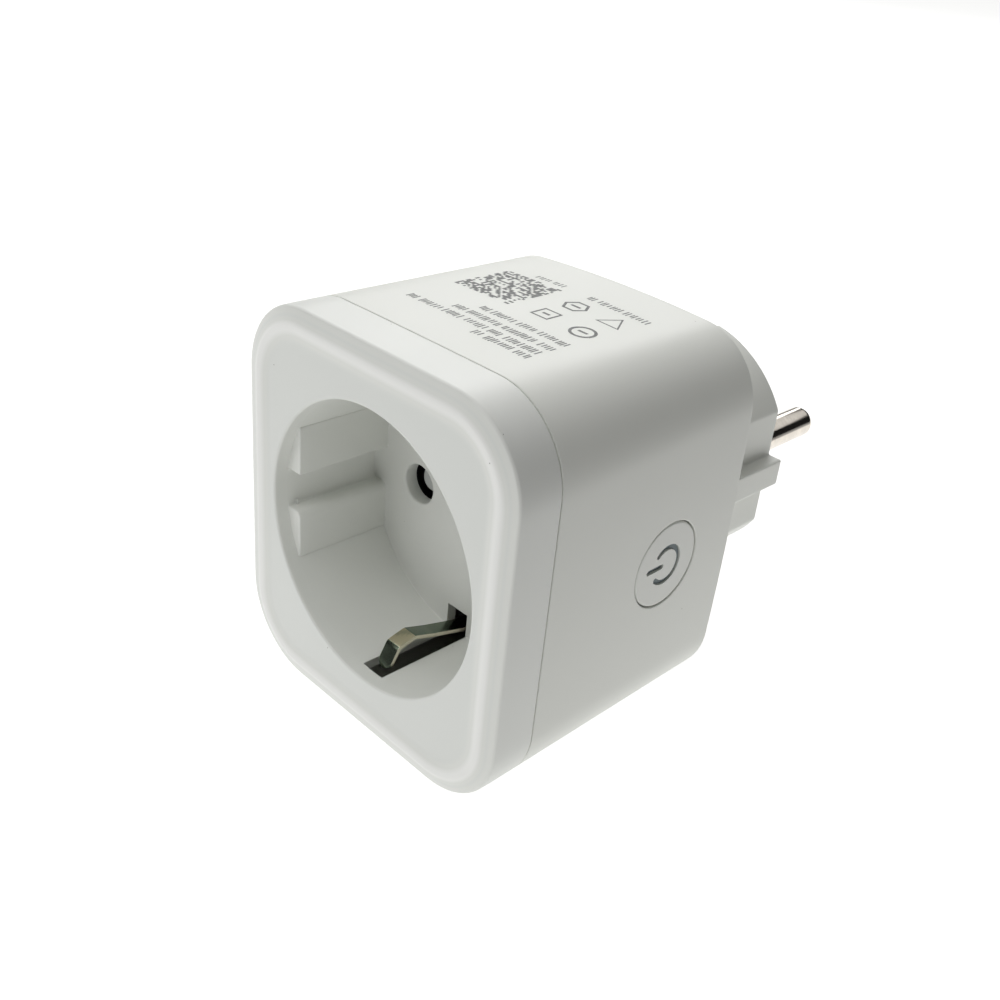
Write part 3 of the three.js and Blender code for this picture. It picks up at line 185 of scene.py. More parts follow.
def piece(name, sheet, finish, body, replaces=(), outward=None, wall=0.0, sharp=35.0):
    """Makes the mesh, welds it, turns its faces outwards, gives it a wall and marks sharp edges.

    outward is a direction: the face that reaches furthest along it is made to look that way. wall
    is the thickness that Solidify adds behind the sheet, in millimetres, and the wall's inner side
    and rims get painted shade: a dark finish that stands in for the shadow inside a shell.
    """
    mesh = bpy.data.meshes.new(name)
    mesh.from_pydata(in_frame(np.concatenate(sheet.points)), [], sheet.faces)
    build = bmesh.new()
    build.from_mesh(mesh)
    bmesh.ops.remove_doubles(build, verts=build.verts, dist=2e-6)
    bmesh.ops.dissolve_degenerate(build, edges=build.edges, dist=1e-7)
    bmesh.ops.recalc_face_normals(build, faces=build.faces)
    if outward is not None:
        way = Vector(outward)

        def reach(face):
            return face.calc_center_median().dot(way) + 1e-3 * abs(face.normal.dot(way))

        if max(build.faces, key=reach).normal.dot(way) < 0:
            bmesh.ops.reverse_faces(build, faces=build.faces)
    build.to_mesh(mesh)
    build.free()
    shape = bpy.data.objects.new(name, mesh)
    bpy.context.scene.collection.objects.link(shape)
    if wall:
        thick = shape.modifiers.new("wall", "SOLIDIFY")
        thick.thickness = wall * MM
        thick.offset = -1.0
        thick.material_offset = 1
        thick.material_offset_rim = 1
        bpy.context.view_layer.update()
        thickened = shape.evaluated_get(bpy.context.evaluated_depsgraph_get())
        done = bpy.data.meshes.new_from_object(thickened)
        shape.modifiers.clear()
        shape.data = done
        shape.data.name = name
    shape.data.shade_smooth()
    shape.data.set_sharp_from_angle(angle=np.radians(sharp))
    shape.data.materials.clear()
    shape.data.materials.append(finish)
    # The inner side and the rims get the painted shade.
    if wall:
        shape.data.materials.append(painted_shade_inside)
    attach(shape, body)
    if replaces:
        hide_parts(*replaces)
    print(name, len(shape.data.vertices), "points,", len(shape.data.polygons), "faces")
    return shape


# %% [markdown]
# ## Finishes
#
# A finish is a small network of shader nodes. To keep it readable, a wrapper turns sockets into
# Python values, so that `1 - mask * 0.5` adds the two Math nodes by itself. One method adds any
# other node: its settings first, then the values or links of its sockets.

# %% Shader values
class Value:
    """A socket that carries a number; arithmetic on it adds Math nodes."""

    def __init__(self, finish, socket):
        self.finish, self.socket = finish, socket

    def _math(self, kind, first, second):
        made = self.finish.node("ShaderNodeMath", {"operation": kind}, {0: first, 1: second})
        return made["Value"]

    def __add__(self, other):
        return self._math("ADD", self, other)

    def __radd__(self, other):
        return self._math("ADD", other, self)

    def __sub__(self, other):
        return self._math("SUBTRACT", self, other)

    def __rsub__(self, other):
        return self._math("SUBTRACT", other, self)

    def __mul__(self, other):
        return self._math("MULTIPLY", self, other)

    def __rmul__(self, other):
        return self._math("MULTIPLY", other, self)

    def __lt__(self, other):
        return self._math("LESS_THAN", self, other)

    def __gt__(self, other):
        return self._math("GREATER_THAN", self, other)


class Made:
    """A node that has been added; its outputs are read by name."""

    def __init__(self, finish, node):
        self.finish, self.node = finish, node

    def __getitem__(self, name):
        return Value(self.finish, self.node.outputs[name])


class Finish:
    """One material and the helpers that build its network."""

    def __init__(self, name):
        self.material = bpy.data.materials.new(name)
        self.material.use_nodes = True
        self.tree = self.material.node_tree
        self.tree.nodes.clear()
        self.place = self.node("ShaderNodeTexCoord", {}, {})["Object"]

    def node(self, kind, settings, inputs):
        """Adds a node: its settings first, then the values or links of its sockets."""
        made = self.tree.nodes.new(kind)
        for key, value in settings.items():
            if key == "stops":
                for stop, (at, tone) in zip(self._stops(made, len(value)), value):
                    stop.position, stop.color = at, (tone, tone, tone, 1.0)
            else:
                setattr(made, key, value)
        for key, value in inputs.items():
            if isinstance(value, Value):
                self.tree.links.new(value.socket, made.inputs[key])
            else:
                made.inputs[key].default_value = value
        return Made(self, made)

    @staticmethod
    def _stops(made, count):
        stops = made.color_ramp.elements
        while len(stops) < count:
            stops.new(1.0)
        return stops

    def stretched(self, scale):
        """The object's coordinates multiplied by (x, y, z) factors, so a pattern draws out."""
        return self.node("ShaderNodeMapping", {}, {"Vector": self.place, "Scale": scale})["Vector"]

    def axes(self, vector=None):
        """The X, Y and Z numbers of a vector, or else of the object's coordinates in metres."""
        return self.node("ShaderNodeSeparateXYZ", {}, {"Vector": vector or self.place})

    def noise(self, size, detail=3.0, rough=0.5, place=None):
        """Cloudy noise from 0 to 1 whose features are about size millimetres across."""
        inputs = {"Vector": place or self.place, "Scale": 1000.0 / size}
        inputs.update({"Detail": detail, "Roughness": rough})
        return self.node("ShaderNodeTexNoise", {}, inputs)["Fac"]

    def waves(self, axis, scale, bend):
        """Bands from 0 to 1 that follow one another along an axis; bend makes them uneven."""
        inputs = {"Vector": self.place, "Scale": scale, "Distortion": bend}
        return self.node("ShaderNodeTexWave", {"bands_direction": axis}, inputs)["Fac"]

    def cells(self, scale):
        """Scattered cells, scale of them to the metre: their Distance and their own Color."""
        return self.node("ShaderNodeTexVoronoi", {}, {"Vector": self.place, "Scale": scale})

    def ramp(self, value, *stops):
        """Maps a value through (position, tone) stops."""
        return self.node("ShaderNodeValToRGB", {"stops": stops}, {"Fac": value})["Color"]

    def mix(self, share, first, second):
        """A colour between two colours; tuples are padded with alpha 1."""
        pad = [c if isinstance(c, Value) else (*c[:3], 1.0) for c in (first, second)]
        made = self.node("ShaderNodeMix", {"data_type": "RGBA"}, {0: share, 6: pad[0], 7: pad[1]})
        return Value(self, made.node.outputs[2])

    def surface(self, bump=None, bump_depth=0.01, bump_strength=0.3, **values):
        """A Principled shader; bump is a height from 0 to 1 that stands bump_depth millimetres."""
        names = {
            "colour": "Base Color", "roughness": "Roughness", "metallic": "Metallic",
            "coat": "Coat Weight", "ior": "IOR", "specular": "Specular IOR Level",
            "glow": "Emission Color", "glow_strength": "Emission Strength",
        }
        inputs = {}
        for key, value in values.items():
            inputs[names[key]] = (*value, 1.0) if isinstance(value, tuple) else value
        if bump is not None:
            settings = {"Strength": bump_strength, "Distance": bump_depth * MM, "Height": bump}
            inputs["Normal"] = self.node("ShaderNodeBump", {}, settings)["Normal"]
        shader = self.node("ShaderNodeBsdfPrincipled", {}, inputs)
        self.node("ShaderNodeOutputMaterial", {}, {"Surface": shader["BSDF"]})
        return self.material


# %% [markdown]
# ## Moulded plastic
#
# The casing is white plastic from a spark-eroded mould: satin, with a grain far finer than a
# millimetre, faint clouds in its tone where it flowed, and a rare dark speck. The grain is a bump
# made of two noises. The clouds change colour and roughness by a few hundredths, which the eye
# reads as a real surface and not as paint. The specks are the centres of scattered cells. The
# cover's rim carries a painted highlight and its dished face painted shade. A shell's inner side
# is painted shade: a dark finish that stands in for the shadow of its hollow, which is full of
# parts that keep the light out.

# %% Satin plastic
DISH = 0.35
# Painted highlight on the cover's crest, and painted shade, slightly cool, on its dished face.
CREST_HIGHLIGHT_TONE = (0.87, 0.875, 0.85)
FACE_SHADE_SHARE = (0.955, 0.962, 0.968)


def shaded(colour, share):
    """A colour times one share, or times three."""
    return tuple(np.multiply(colour, share).tolist())


def satin_plastic(name, colour, roughness=0.42, grain=0.16, specks=0.08, dish=None):
    """White casing plastic: the grain's size in millimetres and the radius of the rare specks.

    dish is for the front cover, whose face lies that far behind its rim: a painted highlight makes
    the rim paler, and painted shade makes the face a little darker and cooler. Both are ramps on the
    depth.
    """
    f = Finish(name)
    clouds = f.noise(9.0, 2.0)
    grain_height = f.noise(grain, 2.0, 0.6) * 0.5 + f.noise(grain * 4, 2.0) * 0.5
    cells = f.cells(1000.0 / 3.0)
    chosen = f.node("ShaderNodeSeparateColor", {}, {"Color": cells["Color"]})["Red"] > 0.6
    speck = (cells["Distance"] < specks / 3.0) * chosen
    tone = f.mix(clouds, shaded(colour, 0.975), colour)
    if dish:
        behind = f.axes()["Y"] * (1 / MM) - FACE_Y
        crest = f.ramp(behind, (0.1 * dish, 1.0), (0.5 * dish, 0.0))
        fall = ((0.7, 0.0), (0.97, 1.0), (1.03, 1.0), (1.3, 0.0))
        face_shade = f.ramp(behind, *[(at * dish, share) for at, share in fall])
        # Painted highlight: the crest is paler. Painted shade: the dished face is darker and cooler.
        tone = f.mix(crest, tone, CREST_HIGHLIGHT_TONE)
        tone = f.mix(face_shade, tone, shaded(colour, FACE_SHADE_SHARE))
    spotted = f.mix(speck * 0.75, tone, (0.16, 0.15, 0.12))
    uneven = f.ramp(clouds, (0.25, roughness - 0.03), (0.75, roughness + 0.03))
    return f.surface(
        colour=spotted, roughness=uneven, bump=grain_height, bump_depth=0.007,
        bump_strength=0.45, ior=1.5,
    )


cover_white = satin_plastic("cover plastic", (0.77, 0.782, 0.745), dish=DISH)
housing_white = satin_plastic("housing plastic", (0.755, 0.765, 0.718))
button_white = satin_plastic("button plastic", (0.75, 0.76, 0.718), grain=0.12, specks=0.0)
# Painted shade: a dark finish for the inside of the shells, standing in for their shadow.
painted_shade_inside = satin_plastic("inner side", (0.03, 0.034, 0.03), 0.6, specks=0.0)
print("moulded plastics:", cover_white.name, housing_white.name, button_white.name, painted_shade_inside.name)

# %% [markdown]
# ## Outlines
#
# The body's section is a rounded rectangle that narrows towards the wall, with sides that bulge a
# little. A bevelled box would give one radius and flat sides. Here each point is a corner centre
# scaled by (a, b) plus the corner radius times (cos t, sin t), so one recipe of three arrays gives
# the outline at every depth, and an inset changes only the radius.

# %% Body outline
def body_recipe(corner=18, side=40, top=36):
    """Arrays a, b and t, counter-clockwise from the lower end of the +X side.

    On each straight side (a, b) goes evenly from one corner to the next while t stands still, and
    at the corner (a, b) stands still while t turns through a quarter circle.
    """
    corners = np.array([(1, -1), (1, 1), (-1, 1), (-1, -1), (1, -1)], float)
    places, t = [], []
    for turn, straight in enumerate((side, top, side, top)):
        start, end = corners[turn], corners[turn + 1]
        share = np.arange(straight)[:, None] / straight
        places += [start + (end - start) * share, np.tile(end, (corner, 1))]
        t += [np.full(straight, turn * np.pi / 2), (turn + np.arange(corner) / corner) * np.pi / 2]
    a, b = np.concatenate(places).T
    return a, b, np.concatenate(t)


A, B, T = body_recipe()
TOP_CROWN, SIDE_CROWN = 0.42, 0.25


def towards_back(y):
    """0 as far as the depth of full width, then evenly up to 1 at the back."""
    return np.clip((np.asarray(y, float) - FULL_WIDTH_DEPTH) / (DEPTH - FULL_WIDTH_DEPTH), 0.0, 1.0)


def body_half(y):
    """Half width, half height and corner radius of the body at depth y, each front + share * change."""
    share = towards_back(y)
    size = FRONT_SIZE + (BACK_SIZE - FRONT_SIZE) * share[..., None]
    return size[..., 0] / 2, size[..., 1] / 2, FRONT_RADIUS + (BACK_RADIUS - FRONT_RADIUS) * share


def crown(y, across, span, rise):
    """How far a side bulges: rise (1 - (across / span)^2), growing from the front to the back."""
    return rise * towards_back(y) * (1 - np.clip(np.abs(across) / span, 0.0, 1.0) ** 2)


def side_x(y, z):
    """The +X wall: half the width plus its crown."""
    half_x, half_z, radius = body_half(y)
    return half_x + crown(y, z, half_z - radius, SIDE_CROWN)


def top_z(x, y):
    """The top: half the height plus its crown."""
    half_x, half_z, radius = body_half(y)
    return half_z + crown(y, x, half_x - radius, TOP_CROWN)


def body_rings(profile):
    """Ring k lies at y[k]: x = a (w/2 - r) + (r - inset + crown) cos t, and z likewise with sin t."""
    y, inset = np.asarray(profile, float).T
    half_x, half_z, radius = (v[:, None] for v in body_half(y))
    bend = radius - inset[:, None]
    x = A * (half_x - radius) + (bend + crown(y[:, None], B, 1.0, SIDE_CROWN)) * np.cos(T)
    z = B * (half_z - radius) + (bend + crown(y[:, None], A, 1.0, TOP_CROWN)) * np.sin(T)
    return np.stack([x, np.broadcast_to(y[:, None], x.shape), z], -1)


def arc_run(centre, radius, start, end, steps):
    """Points (y, inset) on a circle: centre + radius (cos t, sin t), t in degrees."""
    t = np.radians(np.linspace(start, end, steps + 1))
    return [(centre[0] + radius * c, centre[1] + radius * s) for c, s in zip(np.cos(t), np.sin(t))]


def soften(outline, reach):
    """Rounds the corners of a closed outline: each point becomes the mean of its neighbours."""
    return sum(np.roll(outline, k, 0) for k in range(-reach, reach + 1)) / (2 * reach + 1)


def line(start, end, count):
    """count points from start towards end, without the end."""
    return np.linspace(start, end, count, endpoint=False)


def arc(radius, start, end, count):
    """count points on a circle about the origin, angles in radians, without the end."""
    t = np.linspace(start, end, count, endpoint=False)
    return radius * np.stack([np.cos(t), np.sin(t)], -1)


def lay(outline, y):
    """An (x, z) outline as a ring at depth y, which may differ from point to point."""
    return np.stack([outline[:, 0], np.broadcast_to(np.asarray(y, float), len(outline)), outline[:, 1]], -1)


print("body outline:", len(A), "points a ring")

# %% [markdown]
# ## Front cover
#
# On the real object the cover is one thin moulding with a round, keyed recess. Cutting a recess
# into a block would leave its lip and its key blocks to be bevelled one by one. Instead one sheet
# runs from the bottom of the seam's groove, along the side, round a crisp arris, up a band that
# leans back, over a crest into a shallow dish, over the recess lip and down to the floor. Solidify
# then gives all of it a wall.
#
# The recess has two raised key blocks on each side: its outline is a circle whose x is blended
# towards the blocks' flat faces, and the blocks on the button's side start a little deeper. The two
# slots for the earth clips are quads that are left out.

# %% Recess outline
RECESS, RECESS_DEPTH, FLOOR_BACK = 19.1, 17.2, 19.2
KEY_FACE, KEY_IN, KEY_OUT = 16.3, 2.8, 9.7
KEY_START, RIGHT_KEY_DEEPER = 2.4, 1.1
SLOT_HALF, NOTCH_EDGE = 1.9, 15.4
SMALL_BEND, LOWER_BEND = 0.2, 1.0


def key_block(low, high, face, bend, on_circle):
    """One block on the +X side from z = low to z = high, as (x, z) points.

    It runs from the circle to the flat face, along the face, and back to the circle. The corner
    next to the gap between the blocks is a quarter circle of radius bend.
    """
    s, c = quarter(8)
    sign = np.sign(high - low)
    if abs(low) < abs(high):
        corner = np.stack([face + bend * (1 - s), low + sign * bend * (1 - c)], -1)
        path = [
            line((on_circle(low), low), corner[0], 8), corner,
            line(corner[-1], (face, high), 24)[1:], line((face, high), (on_circle(high), high), 4)]
    else:
        corner = np.stack([face + bend * (1 - c), high - sign * bend * (1 - s)], -1)
        path = [
            line((on_circle(low), low), (face, low), 4), line((face, low), corner[0], 24),
            corner, line(corner[-1], (on_circle(high), high), 9)[1:]]
    return np.concatenate(path)


def recess_outline(blocks, grow=0.0, shrink=0.0):
    """The recess section, counter-clockwise from +X: circle, four key blocks and two slot spans.

    blocks blends the block faces out of the circle: x' = c(z) + blocks (x - c(z)), where c(z) is
    the circle. grow moves every wall into the recess and shrink moves only the blocks' walls out
    of it. Also returns which points belong to a slot's span.
    """
    radius, face = RECESS - grow, KEY_FACE - grow + shrink
    near, far = KEY_IN - grow + shrink, KEY_OUT + grow - shrink

    def on_circle(z):
        return np.sqrt(radius ** 2 - np.asarray(z) ** 2)

    def blended(low, high, bend):
        made = key_block(low, high, face, bend, on_circle)
        circle = on_circle(made[:, 1])
        return np.stack([circle + blocks * (made[:, 0] - circle), made[:, 1]], -1)

    turn, edge = np.arcsin(far / radius), np.arccos(SLOT_HALF / radius)
    gap = np.linspace(-near, near, 13)[:-1]
    gap_span = np.stack([on_circle(gap), gap], -1)
    lower_block, upper_block = blended(-far, -near, LOWER_BEND), blended(near, far, SMALL_BEND)
    upper = [arc(radius, turn, edge, 40), arc(radius, edge, np.pi - edge, 12),
             arc(radius, np.pi - edge, np.pi - turn, 40)]
    left = [span[::-1] * [-1, 1] for span in (upper_block, gap_span, lower_block)]
    lower = [span * [-1, -1] for span in upper]
    spans = [lower_block, gap_span, upper_block, *upper, *left, *lower]
    crosses = np.concatenate([np.full(len(s), k in (4, 10)) for k, s in enumerate(spans)])
    return soften(np.concatenate(spans), 1), crosses


print("recess outline:", len(recess_outline(1.0)[0]), "points a ring")


# %% Cover profiles
BAND, LEAN, ARRIS, CREST_ROUND = 2.3, 0.7, 0.5, 1.2
DISH_WIDTH = 2.4
HOLE = 2.8


def hole_rings(x, profile, steps=72):
    """Rings about an axis along Y at x: (y, radius) pairs turned once."""
    y, radius = (v[:, None] for v in np.asarray(profile, float).T)
    t = np.linspace(0, 2 * np.pi, steps, endpoint=False)
    across, up = x + radius * np.cos(t), radius * np.sin(t)
    return np.stack([across, np.broadcast_to(y, across.shape), up], -1)


def front_edge():
    """The cover's edge as (depth, inset) pairs: a crisp arris, a leaning band, a crest and a dish.

    The band is a straight line that leans back by LEAN over its width BAND. Circles tangent to it
    round the arris and the crest, and the dish falls by DISH along the curve s * s * (3 - 2 * s).
    """
    lean = np.arctan2(LEAN, BAND)
    turn = np.degrees(lean) - 180
    corner = (ARRIS * (1 - np.sin(lean)) + BAND * np.sin(lean)) / np.cos(lean)
    start = BAND + CREST_ROUND * np.tan(lean / 2)
    share = np.linspace(0, 1, 9)[1:]
    edge = arc_run((corner, ARRIS + 0.03), ARRIS, -90, turn, 9)
    edge += arc_run((CREST_ROUND, start), CREST_ROUND, turn, -180, 6)
    edge += [(DISH * s * s * (3 - 2 * s), start + DISH_WIDTH * s) for s in share]
    return edge + [(DISH, start + DISH_WIDTH + 0.1)]


def cover_profile():
    """The cover's outside as (depth, inset) pairs: the seam's groove and lip, the side, the edge."""
    back, lip, groove = SEAM - SEAM_GAP / 2, 0.12, 0.3
    profile = [(SEAM + 0.3, 1.2), (SEAM + 0.3, groove), (back, groove)]
    profile += arc_run((back - lip, lip), lip, 0, -90, 4)
    return profile + [(6.5, 0), (4.5, 0), (2.6, 0), *front_edge()]


def recess_rings():
    """The recess wall from lip to floor, which of its points cross a slot, and which quads stay.

    A quarter circle turns the face into the wall. Below it the section is a plain circle as far as
    the key blocks' start, then the outline with its blocks, whose front edges are a quarter circle,
    and a small quarter circle ends the wall at the floor. The start is deeper by
    RIGHT_KEY_DEEPER * clip(3 x / RECESS - 0.9, 0, 1).
    """
    outline, crosses = recess_outline(0.0)
    unit = outline / np.linalg.norm(outline, axis=1)[:, None]
    start = KEY_START + RIGHT_KEY_DEEPER * np.clip(outline[:, 0] / RECESS * 3 - 0.9, 0, 1)
    lip, bend, fillet = 0.35, 0.25, 0.15
    wall = [lay(unit * (RECESS + lip + past), DISH) for past in (0.1, 0.04)]
    wall += [lay(unit * (RECESS + lip - lip * s), DISH + lip * (1 - c)) for s, c in zip(*quarter(6))]
    wall += [lay(unit * RECESS, 1.2), lay(unit * RECESS, start - 0.05)]
    wall.append(lay(recess_outline(0.0, shrink=bend)[0], start))
    wall += [lay(recess_outline(1.0, shrink=bend * (1 - s))[0], start + bend * (1 - c))
             for s, c in zip(*quarter(5))]
    wall += [lay(recess_outline(1.0)[0], y) for y in (4.5, 8.0, 12.5, 16.5)]
    wall += [lay(recess_outline(1.0, fillet * (1 - c))[0], RECESS_DEPTH - fillet * (1 - s))
             for s, c in zip(*quarter(5))]
    wall.append(lay(recess_outline(1.0, fillet + 0.1)[0], RECESS_DEPTH))
    wall = np.array(wall)
    return wall, crosses, ~(crosses & (wall[1:, :, 1] > start + 0.1))


def floor_border(ring, crosses):
    """The floor's border: where the ring crosses a slot, three sides of a notch replace it."""
    first = crosses & ~np.roll(crosses, 1)
    spots = np.flatnonzero(first)
    x, up = ring[spots, 0], np.sign(ring[spots, 2]) * NOTCH_EDGE
    corners = np.stack([np.stack([s * x, np.full(len(x), RECESS_DEPTH), up], -1) for s in (1, -1)], 1)
    places = np.repeat(spots + 1, 2)
    stays = np.insert(~crosses | first, places, True)
    return np.insert(ring, places, corners.reshape(-1, 3), 0)[stays]


def floor_holes():
    """The two pin holes in the floor: a flat rim, a quarter circle over the edge, and the bore."""
    edge = 0.3
    profile = [(RECESS_DEPTH, HOLE + edge + 0.1)]
    profile += [(RECESS_DEPTH + edge * (1 - c), HOLE + edge * (1 - s)) for s, c in zip(*quarter(5))]
    profile.append((FLOOR_BACK, HOLE))
    return [hole_rings(x, profile) for x in (-PIN_X, PIN_X)]


print("cover profile:", len(cover_profile()), "pairs of depth and inset")


# %% Front cover
def front_cover():
    """The body's rings along the cover profile, the dished face, the recess rings and the floor."""
    sheet = Sheet()
    skin = body_rings(cover_profile())
    wall, crosses, keep = recess_rings()
    holes = floor_holes()
    sheet.rings(skin)
    sheet.fill([skin[-1], wall[0]])
    sheet.rings(wall, keep)
    sheet.fill([floor_border(wall[-1], crosses)] + [rings[0] for rings in holes])
    for rings in holes:
        sheet.rings(rings)
    piece(
        "front_cover_skin", sheet, cover_white, "housing", ["front_cover"],
        (0, -1, 0), wall=1.55)


front_cover()

# %% [markdown]
# ## Rear housing and plug
#
# The second moulding starts at the seam, ends in a flat back and carries the plug. The plug's
# section is a circle with two flats, a rib on each flat and, from a little behind the body, two
# grooves for the wall socket's earth clips. It is a stack of rings like the cover, because the
# grooves can then grow out of the circle between two rings that lie at one depth. On the +X side a
# patch of the wall is left out and filled again round the button's hole.

# %% Plug outline and side rings
PLUG, FLAT, RIB, RIB_HALF = 18.3, 15.9, 18.1, 2.0
GROOVE_HALF, GROOVE_FLOOR, GROOVE_START = 3.1, 16.1, 45.0
BUTTON_Y, BUTTON_Z, BUTTON_HOLE = 29.25, -0.2, 6.1
BUTTON_PATCH = (21.8, 36.7)
PIN = 2.4


def plug_outline(groove, grow=0.0):
    """The plug's section from the middle of the +X rib; groove blends the earth grooves in.

    A quarter is worked out and mirrored twice. The groove's bed is z' = c(x) + groove (z - c(x)),
    where c(x) is the circle.
    """
    radius, flat, rib, half = PLUG + grow, FLAT + grow, RIB + grow, RIB_HALF + grow
    side, floor = GROOVE_HALF - grow, GROOVE_FLOOR + grow
    meet, edge = np.arccos(flat / radius), np.arccos(side / radius)
    top = radius * np.sin(edge)
    right = [line((rib, 0), (rib, half), 10), line((rib, half), (flat, half), 12),
             line((flat, half), (flat, radius * np.sin(meet)), 32), arc(radius, meet, edge, 80)]
    bed = np.concatenate([line((side, top), (side, floor), 12), line((side, floor), (0, floor), 16)])
    circle = np.sqrt(radius ** 2 - bed[:, 0] ** 2)
    bed[:, 1] = circle + groove * (bed[:, 1] - circle)
    first = np.concatenate([*right, bed, [(0, bed[-1, 1])]])
    second = first[-2:0:-1] * [-1, 1]
    upper = np.concatenate([first, second, [(-rib, 0)]])
    return soften(np.concatenate([upper, upper[-2:0:-1] * [1, -1]]), 1)


def side_rings(profile, steps=96):
    """Rings about the button's axis: (radius, depth into the side) pairs on the leaning +X wall."""
    radius, depth = (v[:, None] for v in np.asarray(profile, float).T)
    t = np.linspace(0, 2 * np.pi, steps, endpoint=False)
    y, z = BUTTON_Y + radius * np.cos(t), BUTTON_Z + radius * np.sin(t)
    return np.stack([side_x(y, z) - depth, y, z], -1)


print("plug outline:", len(plug_outline(1)), "points a ring")


# %% Rear housing
def rear_skin():
    """The body's rings behind the seam, which quads stay, and the border of the button's patch."""
    front, lip, back = SEAM + SEAM_GAP / 2, 0.12, 0.4
    profile = [(front, 1.9), (front, 0.5), (front, 0.3)]
    profile += arc_run((front + lip, lip), lip, 180, 270, 4)
    profile += [(y, 0) for y in (8.2, 12, 17, *BUTTON_PATCH, 40, 42.3)]
    profile += [*arc_run((DEPTH - back, back), back, -90, 0, 6), (DEPTH, back + 0.1)]
    rings = body_rings(profile)
    row = profile.index((BUTTON_PATCH[0], 0))
    span = np.flatnonzero((T == 0) & (A == 1) & (np.abs(B) < 0.5))
    keep = np.ones((len(rings) - 1, rings.shape[1]), bool)
    keep[row, span[:-1]] = False
    return rings, keep, np.concatenate([rings[row, span], rings[row + 1, span][::-1]])


def button_hole():
    """The button's hole: a flat rim, a quarter circle over the edge, and the bore."""
    edge = 0.15
    profile = [(BUTTON_HOLE + edge + 0.1, 0)]
    profile += [(BUTTON_HOLE + edge * (1 - s), edge * (1 - c)) for s, c in zip(*quarter(4))]
    return side_rings([*profile, (BUTTON_HOLE, 1.9)])


def plug_rings():
    """The plug: a quarter-circle fillet at its foot, the grooves' start, and a rounded end."""
    foot, end = 0.35, 0.5
    tower = [lay(plug_outline(0, foot + 0.1), DEPTH)]
    tower += [lay(plug_outline(0, foot * (1 - s)), DEPTH + foot * (1 - c)) for s, c in zip(*quarter(4))]
    tower += [lay(plug_outline(groove), GROOVE_START) for groove in (0, 1)]
    tower += [lay(plug_outline(1), y) for y in (45.3, 50, 57, 62)]
    tower += [lay(plug_outline(1, -end * (1 - c)), PLUG_END - end * (1 - s)) for s, c in zip(*quarter(6))]
    return np.array([*tower, lay(plug_outline(1, -end - 0.1), PLUG_END)])


def pin_mouths():
    """The openings round the two pins: a flat rim, a chamfer, and the bore."""
    chamfer, bore = 0.2, PIN + 0.1
    rim = [(PLUG_END, bore + chamfer + 0.1), (PLUG_END, bore + chamfer)]
    return [hole_rings(x, [*rim, (PLUG_END - chamfer, bore), (PLUG_END - 3, bore)]) for x in (-PIN_X, PIN_X)]


def rear_housing():
    """The body's rings, the patch round the button's hole, the back, the plug and the pin mouths."""
    sheet = Sheet()
    rings, keep, border = rear_skin()
    hole, tower, mouths = button_hole(), plug_rings(), pin_mouths()
    sheet.rings(rings, keep)
    sheet.fill([border, hole[0]], flat=(1, 2))
    sheet.rings(hole)
    sheet.fill([rings[-1], tower[0]])
    sheet.rings(tower)
    sheet.fill([tower[-1]] + [mouth[0] for mouth in mouths])
    for mouth in mouths:
        sheet.rings(mouth)
    piece(
        "rear_housing_and_plug", sheet, housing_white, "housing", ["rear_housing"],
        (0, -1, 0), wall=1.5)


rear_housing()

# %% [markdown]
# ## Button
#
# The cap sits almost flush with the leaning side, so its rings use the same wall function and lean
# by the same 1.4 degrees. The power sign is a pocket, an open ring with a bar in its gap, and the
# light guide under it is a frame node that shows through. A boolean cut would leave long thin
# triangles that shade badly, so the cap's face is one triangulation between its rim and the sign.

# %% Button cap
SIGN_RING, SIGN_HALF, SIGN_GAP = 2.5, 0.325, 0.78
BAR_FROM, BAR_TO, BAR_HALF = -3.85, -0.5, 0.34


def sign_outlines(grow=0.05):
    """The two closed loops of the power sign as (y, z) about the button's centre, wider by grow.

    The ring runs along its outer arc, turns through half a circle at the gap, and comes back along
    its inner arc. The bar is a straight stroke with a half circle at each end.
    """
    half = SIGN_HALF + grow
    turn = np.pi - SIGN_GAP

    def end(angle, first):
        centre = SIGN_RING * np.array([np.cos(angle), np.sin(angle)])
        return centre + arc(half, first, first + np.pi, 12)

    ring = [arc(SIGN_RING + half, -turn, turn, 90), end(turn, turn)[1:],
            arc(SIGN_RING - half, turn, -turn, 90), end(-turn, np.pi - turn)[1:]]
    thick = BAR_HALF + grow
    right = arc(thick, -np.pi / 2, np.pi / 2, 12) + [BAR_TO - thick, 0.0]
    left = arc(thick, np.pi / 2, 1.5 * np.pi, 12) + [BAR_FROM + thick, 0.0]
    bar = [right, line(right[-1], left[0], 20)[1:], left, line(left[-1], right[0], 20)[1:]]
    return np.concatenate(ring), np.concatenate(bar)


def button_cap():
    """Rings from the skirt to the face's rim, and two rings down the pocket for each sign outline."""
    sheet = Sheet()
    radius, edge, face, pocket_depth = 5.95, 0.3, 0.05, 0.8
    profile = [(7.0, 2.75), (7.0, 2.35), (radius, 2.35), (radius, face + edge + 0.1)]
    profile += [(radius - edge * (1 - c), face + edge * (1 - s)) for s, c in zip(*quarter(6))]
    profile += [(radius - edge - 0.1, face)]
    rings = side_rings(profile)
    sheet.rings(rings)
    loops = []
    for outline in sign_outlines():
        y, z = BUTTON_Y + outline[:, 0], BUTTON_Z + outline[:, 1]
        pocket = np.stack([np.stack([side_x(y, z) - d, y, z], -1) for d in (face, pocket_depth)])
        sheet.rings(pocket)
        loops.append(pocket[0])
    sheet.fill([rings[-1], *loops], flat=(1, 2))
    piece("button_cap_skin", sheet, button_white, "button", ["button_cap"], (1, 0, 0))


button_cap()

# %% [markdown]
# ## Metal finishes
#
# Bright metal looks flat when its roughness is the same everywhere. Turned pins carry fine rings
# from the lathe, rolled strip carries fine lines along its length, and both have cloudy patches
# where the plating is thicker. The same function makes all of them: a stretched noise gives the
# marks, and a larger one the clouds.

